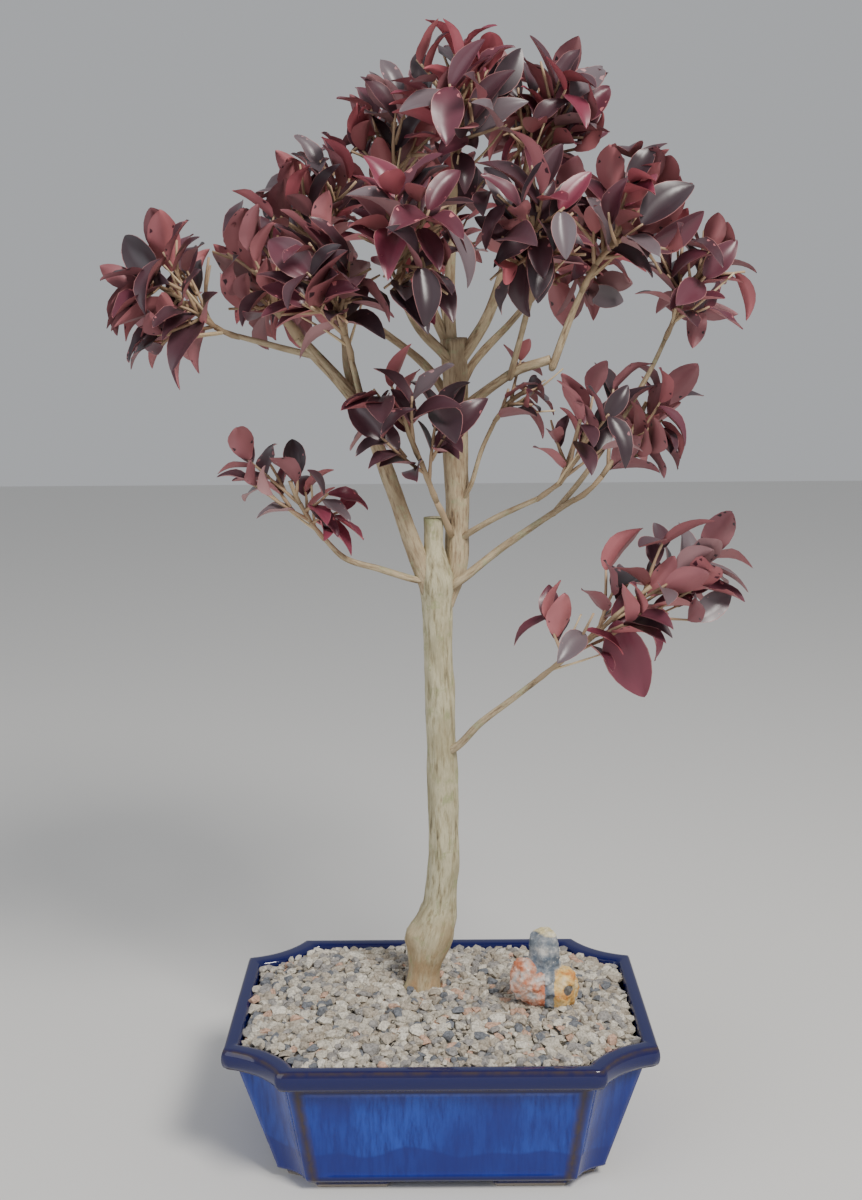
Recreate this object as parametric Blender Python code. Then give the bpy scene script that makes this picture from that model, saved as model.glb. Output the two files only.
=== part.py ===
"""Crape myrtle bonsai in a glazed blue pot with cut corners.

The pot stands on its feet at z = 0, +X is to the right and +Y to the back.
Every length below is in millimetres, and MM turns it into metres.
"""

import math
import random

import bmesh
import bpy
import numpy as np
from mathutils import Matrix, Vector, noise
from mathutils.bvhtree import BVHTree

MM = 0.001
SEAT_GAP = 0.3            # between two pieces that touch
PART_NAME = "crape_myrtle_bonsai"

# Pot: a rectangle with hollow cut corners, on four low corner feet
POT_WIDTH = 254.0
POT_DEPTH = 181.0
POT_HEIGHT = 82.5
CORNER_CUT_X = 35.0       # of each corner at the rim
CORNER_CUT_Y = 27.0
CORNER_HOLLOW = 5.0       # how far a cut corner is drawn in
CORNER_POINTS = 6
BASE_WIDTH = 193.0        # of the body just above the feet
BASE_DEPTH = 153.0
BASE_CUT_SHARE = 0.53     # corner cuts there, against those of the rim
FOOT_HEIGHT = 4.0
FOOT_GAP_X = 62.0         # between the feet, along the front
FOOT_GAP_Y = 44.0         # between the feet, along the side
LIP_HEIGHT = 12.0
LIP_OVERHANG = 8.0
LIP_WIDTH = 9.0
WALL = 7.0
FLOOR_TOP = 15.0

# Filling: soil under gravel, mounded towards the trunk
BED_CLEARANCE = 0.5       # to the wall, which is faceted otherwise than the bed
BED_EDGE_Z = 79.0
BED_RINGS = 6
BED_RELIEF = 1.3
GROUND_Z = 86.0
FLAT_SPOT = 25.0          # level round the trunk and the rock

# Accent rock on the gravel
ROCK_PLACE = (63.0, -15.0)
ROCK_SIZE = (46.0, 34.0, 51.0)

# Trunk: (x, y, z, radius) from just under the flat cut at the ground to the sawn top
TRUNK = (
    (-11.0, 12.0, 82.0, 11.2),
    (-9.5, 12.0, 96.0, 9.8),
    (-7.5, 12.0, 110.0, 12.4),
    (-4.5, 12.0, 122.0, 13.8),
    (-1.5, 12.0, 133.0, 12.0),
    (1.0, 12.0, 146.0, 9.7),
    (3.0, 11.0, 180.0, 9.3),
    (2.0, 10.0, 240.0, 9.0),
    (0.5, 8.0, 300.0, 8.6),
    (0.0, 7.0, 332.0, 9.4),
    (0.0, 6.0, 345.0, 10.4),
    (-1.5, 4.5, 357.0, 8.0),
    (-2.0, 4.0, 366.0, 5.9),
    (-2.0, 3.0, 383.0, 5.5),
)
BURR_PLACE = (-15.0, 9.0, 120.0)
BURR_RADIUS = 7.5

# Boughs: name, radius at the foot, radius at the tip, and the points that each runs through
BOUGHS = (
    ("leader", 7.0, 7.6,
     ((4, 10, 333), (11, 12, 354), (12, 14, 390), (11, 12, 433), (11, 10, 462), (10, 8, 486))),
    ("left_bough", 5.6, 3.0,
     ((-5, 5, 341), (-15, 0, 370), (-35, -12, 429), (-48, -18, 455), (-76, -25, 487))),
    ("left_outer_bough", 2.0, 1.5,
     ((-68, -24, 477), (-87, -26, 482), (-110, -23, 488))),
    ("left_side_bough", 2.3, 1.8,
     ((-44, -18, 447), (-50, -13, 469), (-52, -6, 487), (-56, 2, 512))),
    ("left_front_bough", 2.2, 1.6,
     ((-40, -14, 440), (-42, -32, 456), (-46, -45, 476))),
    ("left_low_bough", 2.4, 1.4,
     ((-2, 4, 345), (-14, 0, 347), (-33, -6, 354), (-53, -10, 361), (-66, -12, 374))),
    ("front_bough", 3.2, 2.0,
     ((6, 4, 476), (-8, -14, 490), (-17, -32, 505))),
    ("top_left_bough", 3.2, 2.0,
     ((8, 8, 480), (-3, 10, 505), (-13, 12, 535), (-20, 12, 560))),
    ("top_bough", 3.6, 2.2,
     ((9, 8, 482), (8, 6, 510), (9, 0, 540), (10, -4, 562))),
    ("top_right_bough", 3.8, 2.2,
     ((11, 8, 470), (22, 8, 485), (32, 11, 503), (41, 13, 532), (47, 13, 560))),
    ("right_bough", 3.0, 2.6,
     ((10, 9, 441), (18, 4, 448), (32, -4, 459), (46, -10, 468), (64, -16, 474))),
    ("right_bough_upright", 2.4, 1.6,
     ((65.5, -16.5, 471), (74, -20, 495), (81, -23, 512))),
    ("right_front_bough", 2.0, 1.5,
     ((42, -10, 465), (47, -22, 487), (51, -32, 505))),
    ("right_thin_bough", 2.0, 1.4,
     ((12, 12, 368), (21, 4, 375), (37, -4, 385), (58, -16, 396))),
    ("right_low_bough", 2.8, 1.6,
     ((2, 7, 338), (15, 2, 347), (37, -2, 365), (60, -3, 381), (80, -4, 394))),
    ("right_outer_bough", 1.7, 1.3,
     ((68, -3, 386), (88, 3, 410), (108, 6, 440), (124, 6, 468), (132, 5, 486))),
    ("lowest_bough", 2.6, 1.6,
     ((2, 9, 238), (12, 2, 245), (25, -6, 261), (44, -14, 278), (57, -20, 290))),
    ("right_twig", 1.5, 1.2,
     ((13, 12, 390), (20, 5, 402), (26, 1, 422), (34, -3, 440))),
    ("back_left_bough", 3.0, 1.8,
     ((10, 10, 446), (-6, 28, 470), (-34, 44, 492), (-52, 52, 504))),
    ("back_bough", 3.2, 2.0,
     ((10, 10, 472), (7, 30, 494), (3, 48, 516))),
    ("back_right_bough", 3.0, 1.8,
     ((12, 10, 455), (24, 28, 474), (44, 44, 494), (55, 50, 506))),
)

# Foliage: name, bough that carries it, middle of its space, half sizes of the space, how much
# the space climbs towards +X, shoots that leave its stem, length of a leaf, seed
MASSES = (
    ("foliage_left_tip", "left_outer_bough", (-144, -20, 512), (41, 42, 52), 0.0, 8, 38, 11),
    ("foliage_left", "left_bough", (-98, -12, 524), (40, 42, 46), 0.0, 7, 35, 12),
    ("foliage_upper_left", "left_side_bough", (-66, 10, 564), (41, 44, 42), 0.3, 7, 34, 13),
    ("foliage_left_front", "left_front_bough", (-56, -64, 516), (40, 38, 48), 0.0, 7, 38, 14),
    ("foliage_left_low", "left_low_bough", (-82, -15, 404), (52, 30, 31), -0.55, 6, 31, 15),
    ("foliage_front", "front_bough", (-12, -74, 536), (40, 38, 52), 0.0, 8, 42, 16),
    ("foliage_top_left", "top_left_bough", (-22, 14, 602), (41, 44, 42), 0.3, 7, 34, 17),
    ("foliage_top", "top_bough", (14, -24, 610), (38, 40, 46), 0.0, 7, 35, 18),
    ("foliage_top_right", "top_right_bough", (60, 8, 608), (42, 44, 47), 0.0, 7, 35, 19),
    ("foliage_right_front", "right_front_bough", (50, -60, 544), (38, 38, 48), 0.0, 7, 37, 20),
    ("foliage_upper_right", "right_bough_upright", (106, -24, 550), (46, 44, 46), 0.0, 7, 36, 21),
    ("foliage_right_tip", "right_outer_bough", (146, 4, 516), (36, 36, 44), 0.0, 7, 35, 22),
    ("foliage_right", "right_low_bough", (118, 6, 444), (43, 38, 44), 0.0, 7, 34, 23),
    ("foliage_right_inner", "right_thin_bough", (84, -34, 438), (30, 32, 40), 0.0, 5, 32, 24),
    ("foliage_lowest", "lowest_bough", (115, -30, 342), (74, 36, 40), 0.42, 8, 36, 25),
    ("foliage_trunk_front", "leader", (-16, -38, 440), (46, 32, 44), 0.0, 7, 32, 26),
    ("foliage_right_sprig", "right_twig", (50, -8, 456), (28, 24, 32), 0.0, 5, 25, 27),
    ("foliage_back_left", "back_left_bough", (-84, 68, 530), (44, 42, 48), 0.0, 6, 38, 28),
    ("foliage_back", "back_bough", (-4, 76, 562), (44, 40, 52), 0.0, 7, 38, 29),
    ("foliage_back_right", "back_right_bough", (82, 66, 538), (44, 42, 48), 0.0, 6, 38, 30),
)
SPRIG_FOOT = 0.28         # share of the leader's length where the foliage in front of it leaves

# How the foliage grows
SPREAD = math.radians(118)          # widest angle between a shoot and the stem's aim
GOLDEN_TURN = math.radians(137.5)
STEM_OVERSHOOT = 0.10
STEM_LAP = 1.0                      # between two lengths of a stem
SPACE_SLACK = 1.05                  # of its half sizes, as far as a mass may reach
CELL_MARGIN = 0.7                   # kept by each mass to its neighbours' spaces
LIMB_MARGIN = 2.6                   # kept by leaves to limbs
TWIG_MARGIN = 2.0
SHORTEST_TWIG = 12.0
SIDE_SHOOT_FROM = 38.0              # shoots longer than this carry a side shoot
NODE_STEP = 12.0
LEAFY_SHARE = 0.8                   # of a shoot, from its tip down
PAIR_STAGGER = 2.5                  # leaves of a pair are a little apart along the twig
LEAF_TRIES = 14
TIP_REACH = 0.62                    # of a leaf's length, kept inside the space by a twig's tip
LEAF_WIDTH_SHARE = 0.5
LEAF_FOLD = 0.30
STEM_RADIUS = 1.9
TWIG_RADIUS = 1.0
TWIG_TIP_RADIUS = 1.0
SIDE_SHOOT_RADIUS = 0.6             # at its foot, which stays inside the shoot that carries it
HANGING_SHARE = 0.12


# Growth: points and directions only


def smooth_path(points, step):
    """Even points along a smooth curve through the given ones; any length of tuple."""
    knots = [np.array(p, float) for p in points]
    knots = [2 * knots[0] - knots[1]] + knots + [2 * knots[-1] - knots[-2]]
    fine = []
    for a, b, c, d in zip(knots, knots[1:], knots[2:], knots[3:]):
        for t in np.linspace(0.0, 1.0, 12, endpoint=False):
            fine.append(0.5 * (2 * b + (c - a) * t + (2 * a - 5 * b + 4 * c - d) * t ** 2
                               + (3 * b - a - 3 * c + d) * t ** 3))
    fine.append(knots[-2])
    fine = np.array(fine)
    run = np.r_[0.0, np.cumsum(np.linalg.norm(np.diff(fine[:, :3], axis=0), axis=1))]
    count = max(2, int(round(run[-1] / step)) + 1)
    even = np.linspace(0.0, run[-1], count)
    return np.stack([np.interp(even, run, column) for column in fine.T], axis=1)


def bough_path(radius, tip_radius, points, step):
    """Path of a bough as rows of x, y, z, radius, with an even taper."""
    path = smooth_path(points, step)
    taper = np.linspace(radius, tip_radius, len(path))
    return np.c_[path, taper]


def limb_paths(step):
    """Every limb's path by name, the trunk first."""
    paths = {"trunk": smooth_path(TRUNK, step)}
    for name, radius, tip_radius, points in BOUGHS:
        paths[name] = bough_path(radius, tip_radius, points, step)
    return paths


class Limbs:
    """The limbs as capsules, for measuring how clear of them a point is."""

    def __init__(self, paths):
        rows = list(paths.values())
        self.start = np.concatenate([r[:-1, :3] for r in rows])
        self.run = np.concatenate([r[1:, :3] - r[:-1, :3] for r in rows])
        self.radius = np.concatenate([np.maximum(r[:-1, 3], r[1:, 3]) for r in rows])

    def clearance(self, points):
        """Least distance from any of the points to a limb's surface."""
        return (segment_gaps(points, self.start, self.run) - self.radius).min()


class Cell:
    """The space of one mass: its own ellipsoid, cut by planes towards its neighbours."""

    def __init__(self, index):
        _, _, centre, half, self.rise, *_ = MASSES[index]
        self.centre = np.array(centre, float)
        self.half = np.array(half, float)
        self.at = []
        self.normal = []
        for other, mass in enumerate(MASSES):
            if other == index:
                continue
            run = np.array(mass[2], float) - self.centre
            out = run / np.linalg.norm(run)
            mine = 1.0 / np.linalg.norm(out / self.half)
            theirs = 1.0 / np.linalg.norm(out / np.array(mass[3], float))
            self.at.append(self.centre + run * mine / (mine + theirs))
            self.normal.append(out)
        self.at = np.array(self.at)
        self.normal = np.array(self.normal)

    def holds(self, points):
        """True where every point is in the ellipsoid and keeps its margin to the planes."""
        offset = points - self.centre
        offset[:, 2] -= self.rise * offset[:, 0]
        if np.linalg.norm(offset / self.half, axis=1).max() > SPACE_SLACK:
            return False
        height = ((points[:, None, :] - self.at[None]) * self.normal[None]).sum(axis=2)
        return height.max() < -CELL_MARGIN

    def surface(self, out, inset):
        """The point of the ellipsoid, drawn in by a length, in a direction."""
        size = np.maximum(self.half - inset, 6.0)
        point = np.array(tuple(out)) * size
        point[2] += self.rise * point[0]
        return Vector(self.centre + point)


def leaf_points(leaf, rows, columns):
    """Points over a leaf's blade, from a row of lengthwise and of crosswise shares."""
    points = []
    for along in rows:
        drop = -leaf["droop"] * leaf["length"] * along * along
        half = leaf["width"] * math.sin(math.pi * min(1.0, 0.04 + 0.96 * along ** 0.8)) * 0.5
        for across in columns:
            y = half * across
            lift = drop + LEAF_FOLD * abs(y)
            points.append(leaf["root"] + leaf["along"] * (along * leaf["length"])
                          + leaf["across"] * y + leaf["face"] * lift)
    return np.array([tuple(p) for p in points])


def make_leaf(root, along, face, length, rng):
    """A leaf's frame and sizes; its upper side turns towards face."""
    along = along.normalized()
    across = face.cross(along).normalized()
    return {
        "root": root,
        "along": along,
        "across": across,
        "face": along.cross(across).normalized(),
        "length": length,
        "width": length * LEAF_WIDTH_SHARE * rng.uniform(0.9, 1.12),
        "droop": rng.uniform(0.02, 0.16),
    }


def segment_gaps(points, start, run):
    """Distances of points to straight segments, one row a point."""
    offset = points[:, None, :] - start[None]
    share = np.clip((offset * run[None]).sum(axis=2) / (run ** 2).sum(axis=1), 0.0, 1.0)
    return np.linalg.norm(offset - share[..., None] * run[None], axis=2)


def leaf_shape(leaf):
    """An eight-faced leaf: the hull of its root, its tip and two points a side."""
    root = leaf_points(leaf, (0.0,), (0.0,))
    sides = leaf_points(leaf, (0.34, 0.70), (-1.0, 1.0))
    tip = leaf_points(leaf, (1.0,), (0.0,))
    bm = bmesh.new()
    for point in np.concatenate([root, sides, tip]):
        bm.verts.new(point)
    bmesh.ops.convex_hull(bm, input=bm.verts)
    return bm


def twig_shape(start, end, radius, tip_radius):
    """A three-sided twig between two points."""
    run = end - start
    matrix = Matrix.Translation((start + end) * 0.5) @ run.to_track_quat("Z", "Y").to_matrix().to_4x4()
    bm = bmesh.new()
    bmesh.ops.create_cone(bm, cap_ends=True, segments=3, radius1=radius, radius2=tip_radius,
                          depth=run.length, matrix=matrix)
    return bm


def surface_tree(bm):
    """The surface of a bmesh, for finding what crosses it; the bmesh is used up."""
    bmesh.ops.triangulate(bm, faces=bm.faces)
    tree = BVHTree.FromBMesh(bm)
    bm.free()
    return tree


def leaf_fits(leaf, own, cell, limbs, twig_trees, leaf_trees):
    """Whether a leaf stays in its cell, off the limbs, and clear of other twigs and leaves."""
    blade = leaf_points(leaf, (0.25, 0.4, 0.55, 0.7, 0.85, 1.0), (-1.0, -0.5, 0.0, 0.5, 1.0))
    if not cell.holds(blade) or limbs.clearance(blade) < LIMB_MARGIN:
        return False
    tree = surface_tree(leaf_shape(leaf))
    others = leaf_trees + [twig for k, twig in enumerate(twig_trees) if k != own]
    if any(tree.overlap(other) for other in others):
        return False
    leaf_trees.append(tree)
    return True


def twig_fits(start, end, radius, cell, limbs):
    """Whether a straight twig stays in its cell and off the limbs."""
    line = np.array([tuple(start.lerp(end, t)) for t in np.linspace(0.0, 1.0, 9)])
    return cell.holds(line[1:]) and limbs.clearance(line[2:]) > radius + TWIG_MARGIN


def grow_twig(start, end, radius, cell, limbs):
    """The longest part of a twig that fits, or None."""
    for share in (1.0, 0.9, 0.8, 0.7, 0.6, 0.5):
        tip = start.lerp(end, share)
        if (tip - start).length < SHORTEST_TWIG:
            return None
        if twig_fits(start, tip, radius, cell, limbs):
            return start, tip, radius
    return None


def twig_sides(run):
    """Outward directions of a twig's three faces."""
    turn = run.to_track_quat("Z", "Y")
    angles = [k * 2 * math.pi / 3 for k in range(3)]
    return [turn @ Vector((math.sin(a), -math.cos(a), 0.0)) for a in angles]


def leaves_of(own, size, cell, limbs, twigs, twig_trees, leaf_trees, rng):
    """Pairs of leaves down a twig from its tip, each growing out of one face of the twig."""
    start, tip, _ = twigs[own]
    run = tip - start
    aim = run.normalized()
    up = Vector((0, 0, 1))
    sides = twig_sides(run)
    first = rng.randrange(3)
    nodes = max(1, int(run.length * LEAFY_SHARE / NODE_STEP) + 1)
    leaves = []
    for node in range(nodes):
        for which in range(2 if node else 3):
            out = sides[(first + node + which) % 3]
            root = tip - aim * (1.8 + node * NODE_STEP + PAIR_STAGGER * which)
            for attempt in range(LEAF_TRIES):
                lean = math.radians(rng.uniform(32, 78))
                along = aim * math.cos(lean) + out * math.sin(lean) + up * rng.uniform(-0.1, 0.3)
                if rng.random() < HANGING_SHARE:
                    along = along - up
                face = aim * 0.8 + up * 0.45 + sides[rng.randrange(3)] * 0.3
                leaf = make_leaf(root, along, face, size * rng.uniform(0.72, 1.18), rng)
                if leaf_fits(leaf, own, cell, limbs, twig_trees, leaf_trees):
                    leaves.append(leaf)
                    break
    return leaves


def stem_foot(mass, paths):
    """Where a mass's stem starts, which way it heads and how thick it is."""
    carrier = paths[mass[1]]
    if mass[0] == "foliage_trunk_front":
        row = carrier[int(SPRIG_FOOT * len(carrier))]
        heading = (Vector(mass[2]) - Vector(row[:3])).normalized()
        level = Vector((heading.x, heading.y, 0)).normalized()
        clear = row[3] + SEAT_GAP + STEM_RADIUS * abs(heading.z)
        return Vector(row[:3]) + level * clear, heading, STEM_RADIUS
    tip = Vector(carrier[-1, :3])
    heading = (tip - Vector(carrier[-2, :3])).normalized()
    return tip + heading * SEAT_GAP, heading, carrier[-1, 3]


def grow_mass(index, paths, limbs):
    """Stem points, twigs and leaves of one mass, by its seed."""
    name, _, centre, _, _, shoots, leaf_size, seed = MASSES[index]
    rng = random.Random(seed)
    cell = Cell(index)
    centre = Vector(centre)
    foot, heading, radius = stem_foot(MASSES[index], paths)
    far = centre + (centre - foot) * STEM_OVERSHOOT
    bend = foot + heading * (far - foot).length * 0.4
    stem = [foot.lerp(bend, t).lerp(bend.lerp(far, t), t) for t in (0.0, 1 / 3, 2 / 3, 1.0)]
    aim = (far - foot).normalized()
    across = aim.orthogonal().normalized()
    other = aim.cross(across)
    turn = rng.uniform(0.0, 2 * math.pi)
    twigs = []
    for shoot in range(shoots):
        spread = SPREAD * math.sqrt((shoot + 0.5) / shoots)
        angle = turn + shoot * GOLDEN_TURN + rng.uniform(-0.3, 0.3)
        out = aim * math.cos(spread)
        out = out + (across * math.cos(angle) + other * math.sin(angle)) * math.sin(spread)
        end = cell.surface(out, leaf_size * TIP_REACH * rng.uniform(0.7, 1.3))
        place = (1.0 - 0.72 * spread / SPREAD) * 2.99
        segment = int(place)
        start = stem[segment].lerp(stem[segment + 1], place - segment)
        twig = grow_twig(start, end, TWIG_RADIUS, cell, limbs)
        if twig is None:
            continue
        twigs.append(twig)
        run = twig[1] - twig[0]
        if run.length > SIDE_SHOOT_FROM:
            side_start = twig[0] + run * rng.uniform(0.30, 0.45)
            axis = Matrix.Rotation(rng.uniform(0, 2 * math.pi), 3, run) @ run.orthogonal()
            side = Matrix.Rotation(math.radians(rng.uniform(32, 48)), 3, axis) @ run
            side_end = side_start + side * rng.uniform(0.45, 0.62) + Vector((0, 0, 4))
            side_twig = grow_twig(side_start, side_end, SIDE_SHOOT_RADIUS, cell, limbs)
            if side_twig:
                twigs.append(side_twig)
    stem_lengths = [(a, b, radius * 0.8) for a, b in zip(stem, stem[1:])]
    twig_trees = [surface_tree(twig_shape(*twig, TWIG_TIP_RADIUS)) for twig in twigs + stem_lengths]
    leaf_trees = []
    leaves = []
    for own in range(len(twigs)):
        leaves += leaves_of(own, leaf_size, cell, limbs, twigs, twig_trees, leaf_trees, rng)
    return {"name": name, "stem": stem, "radius": radius, "twigs": twigs, "leaves": leaves}


# Blender helpers


def clear_scene():
    for item in list(bpy.data.objects):
        bpy.data.objects.remove(item, do_unlink=True)
    for group in list(bpy.data.collections):
        bpy.data.collections.remove(group)


def new_collection(name):
    group = bpy.data.collections.new(name)
    bpy.context.scene.collection.children.link(group)
    return group


def make_material(name, colour, roughness, metallic=0.0):
    material = bpy.data.materials.new(name)
    material.use_nodes = True
    shader = material.node_tree.nodes["Principled BSDF"]
    shader.inputs["Base Color"].default_value = (*colour, 1.0)
    shader.inputs["Roughness"].default_value = roughness
    shader.inputs["Metallic"].default_value = metallic
    return material


def mesh_object(name, bm, group, material=None, scale=1.0):
    """A new object that takes over the given bmesh."""
    bmesh.ops.scale(bm, vec=(scale, scale, scale), verts=bm.verts)
    bmesh.ops.recalc_face_normals(bm, faces=bm.faces)
    mesh = bpy.data.meshes.new(name)
    bm.to_mesh(mesh)
    bm.free()
    item = bpy.data.objects.new(name, mesh)
    group.objects.link(item)
    if material:
        mesh.materials.append(material)
    return item


def evaluated_mesh(item):
    """The object's mesh with its modifiers applied."""
    bpy.context.view_layer.update()
    graph = bpy.context.evaluated_depsgraph_get()
    return bpy.data.meshes.new_from_object(item.evaluated_get(graph))


def apply_modifiers(item):
    mesh = evaluated_mesh(item)
    item.modifiers.clear()
    item.data = mesh


def tube(name, path, sides, group, extra=0.0):
    """A closed tube along rows of x, y, z, radius, made as a bevelled curve."""
    curve = bpy.data.curves.new(name, "CURVE")
    curve.dimensions = "3D"
    curve.bevel_depth = MM
    curve.bevel_resolution = (sides - 4) // 2
    curve.use_fill_caps = True
    spline = curve.splines.new("POLY")
    spline.points.add(len(path) - 1)
    for point, row in zip(spline.points, path):
        point.co = (row[0] * MM, row[1] * MM, row[2] * MM, 1.0)
        point.radius = row[3] + extra
    wire = bpy.data.objects.new(name + "_curve", curve)
    group.objects.link(wire)
    mesh = evaluated_mesh(wire)
    bm = bmesh.new()
    bm.from_mesh(mesh)
    bmesh.ops.remove_doubles(bm, verts=bm.verts, dist=1e-6)
    item = mesh_object(name, bm, group)
    item.matrix_world = wire.matrix_world
    bpy.data.objects.remove(wire, do_unlink=True)
    return item


def add_boolean(item, operation, other, solver="EXACT"):
    """A Boolean modifier with one object, or with all of a collection."""
    modifier = item.modifiers.new("boolean", "BOOLEAN")
    modifier.operation = operation
    modifier.solver = solver
    if isinstance(other, bpy.types.Collection):
        modifier.operand_type = "COLLECTION"
        modifier.collection = other
    else:
        modifier.object = other


def islands(bm):
    """Sets of faces that hang together."""
    left = set(bm.faces)
    found = []
    while left:
        stack = [left.pop()]
        island = set(stack)
        while stack:
            for edge in stack.pop().edges:
                for face in edge.link_faces:
                    if face in left:
                        left.remove(face)
                        island.add(face)
                        stack.append(face)
        found.append(island)
    return found


def keep_main_body(item):
    """Drop loose scraps and fill sealed hollows: only the largest closed surface stays."""
    bm = bmesh.new()
    bm.from_mesh(item.data)
    bmesh.ops.triangulate(bm, faces=bm.faces)
    bodies = islands(bm)

    def volume(faces):
        return sum(f.verts[0].co.dot(f.verts[1].co.cross(f.verts[2].co)) for f in faces) / 6

    main = max(bodies, key=lambda faces: abs(volume(faces)))
    bmesh.ops.delete(bm, geom=[f for f in bm.faces if f not in main], context="FACES")
    bmesh.ops.delete(bm, geom=[v for v in bm.verts if not v.link_faces], context="VERTS")
    bm.to_mesh(item.data)
    bm.free()


def cut_flat(bm, height):
    """Cut off what is below a height, and close the cut."""
    geometry = bm.verts[:] + bm.edges[:] + bm.faces[:]
    cut = bmesh.ops.bisect_plane(bm, geom=geometry, plane_co=(0, 0, height), plane_no=(0, 0, 1),
                                 clear_inner=True)
    rim = [e for e in cut["geom_cut"] if isinstance(e, bmesh.types.BMEdge)]
    bmesh.ops.contextual_create(bm, geom=rim)


def shade_round(item, angle=35):
    item.data.shade_smooth()
    item.data.set_sharp_from_angle(angle=math.radians(angle))


# Pot and what it holds


def pot_outline(half_x, half_y, cut_x, cut_y):
    """Outline of the pot at one height, each cut corner drawn in along a shallow curve."""
    inward = Vector((cut_y, cut_x)).normalized()
    corner = []
    for k in range(CORNER_POINTS):
        t = k / (CORNER_POINTS - 1)
        pull = CORNER_HOLLOW * (cut_x / CORNER_CUT_X) * 4 * t * (1 - t)
        x = half_x - cut_x * t - inward.x * pull
        y = half_y - cut_y * (1 - t) - inward.y * pull
        corner.append((x, y))
    ring = list(corner)
    ring += [(-x, y) for x, y in reversed(corner)]
    ring += [(-x, -y) for x, y in corner]
    ring += [(x, -y) for x, y in reversed(corner)]
    return ring


def pot_ring(z, half_x, half_y, cut_share, shrink=0.0):
    outline = pot_outline(half_x - shrink, half_y - shrink,
                          CORNER_CUT_X * cut_share, CORNER_CUT_Y * cut_share)
    return [(x, y, z) for x, y in outline]


def loft(name, rings, group, material):
    """A closed body through rings of equal count, capped at both ends."""
    bm = bmesh.new()
    loops = [[bm.verts.new((x * MM, y * MM, z * MM)) for x, y, z in ring] for ring in rings]
    for low, high in zip(loops, loops[1:]):
        for k in range(len(low)):
            after = (k + 1) % len(low)
            bm.faces.new((low[k], low[after], high[after], high[k]))
    bm.faces.new(loops[0])
    bm.faces.new(loops[-1])
    return mesh_object(name, bm, group, material)


def wall_size(z):
    """Half width, half depth and corner share of the pot's body at a height."""
    low = FOOT_HEIGHT + 5.0
    share = (z - low) / (POT_HEIGHT - LIP_HEIGHT - low)
    half_x = BASE_WIDTH / 2 + (POT_WIDTH / 2 - LIP_OVERHANG - BASE_WIDTH / 2) * share
    half_y = BASE_DEPTH / 2 + (POT_DEPTH / 2 - LIP_OVERHANG - BASE_DEPTH / 2) * share
    return half_x, half_y, BASE_CUT_SHARE + (0.92 - BASE_CUT_SHARE) * share


def inner_ring(z, clearance):
    half_x, half_y, cut = wall_size(z)
    return pot_ring(z, half_x, half_y, cut, WALL + clearance)


def build_pot(group, cutters, material):
    lip_low = POT_HEIGHT - LIP_HEIGHT
    body_low = FOOT_HEIGHT + 5.0
    half_x = POT_WIDTH / 2
    half_y = POT_DEPTH / 2
    base_x, base_y, base_cut = wall_size(body_low)
    neck_x, neck_y, neck_cut = wall_size(lip_low)
    rings = [
        pot_ring(0.0, base_x, base_y, base_cut, 6.0),
        pot_ring(FOOT_HEIGHT, base_x, base_y, base_cut, 4.5),
        pot_ring(FOOT_HEIGHT + 1.5, base_x, base_y, base_cut, 2.0),
        pot_ring(body_low, base_x, base_y, base_cut),
        pot_ring(lip_low, neck_x, neck_y, neck_cut),
        pot_ring(lip_low + 0.5, half_x, half_y, 1.0, 2.0),
        pot_ring(lip_low + 2.5, half_x, half_y, 1.0),
        pot_ring(POT_HEIGHT - 2.0, half_x, half_y, 1.0),
        pot_ring(POT_HEIGHT, half_x, half_y, 1.0, 1.6),
        pot_ring(POT_HEIGHT, half_x, half_y, 1.0, LIP_WIDTH),
        inner_ring(BED_EDGE_Z - 0.5, 0.0),
        inner_ring(FLOOR_TOP, 0.0),
    ]
    pot = loft("pot", rings, group, material)
    for axis, gap in (("x", FOOT_GAP_X), ("y", FOOT_GAP_Y)):
        bpy.ops.mesh.primitive_cube_add(size=1.0)
        cutter = bpy.context.object
        cutter.name = "foot_gap_" + axis
        size = (gap, POT_DEPTH, 2 * (FOOT_HEIGHT - 0.5))
        if axis == "y":
            size = (POT_WIDTH, gap, 2 * (FOOT_HEIGHT - 0.5))
        cutter.data.transform(Matrix.Diagonal((*[s * MM for s in size], 1.0)))
        cutter.hide_render = True
        cutter.display_type = "WIRE"
        for home in list(cutter.users_collection):
            home.objects.unlink(cutter)
        cutters.objects.link(cutter)
        add_boolean(pot, "DIFFERENCE", cutter)
    return pot


def ground_height(x, y):
    """Height of the gravel: mounded, pebbly, and level under the trunk and the rock."""
    half_x, half_y, _ = wall_size(BED_EDGE_Z)
    rim = max(abs(x) / (half_x - WALL), abs(y) / (half_y - WALL))
    mound = BED_EDGE_Z + (GROUND_Z - BED_EDGE_Z) * min(1.0, 1.9 * (1.0 - min(1.0, rim)))
    mound += BED_RELIEF * noise.noise(Vector((x, y, 0.0)) * 0.11)
    flat = min(math.hypot(x - TRUNK[0][0], y - TRUNK[0][1]),
               math.hypot(x - ROCK_PLACE[0], y - ROCK_PLACE[1]) - 6.0)
    blend = min(1.0, max(0.0, (flat - FLAT_SPOT) / 12.0))
    return GROUND_Z + (mound - GROUND_Z) * blend


def build_bed(group, material):
    rings = [inner_ring(z, BED_CLEARANCE) for z in (FLOOR_TOP + SEAT_GAP, BED_EDGE_Z - 0.5)]
    edge = rings[-1]
    for k in range(BED_RINGS):
        share = 1.0 - k / BED_RINGS
        ring = []
        for x, y, _ in edge:
            ring.append((x * share, y * share, ground_height(x * share, y * share)))
        if k:
            rings.append(ring)
    return loft("gravel_bed", rings, group, material)


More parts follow.
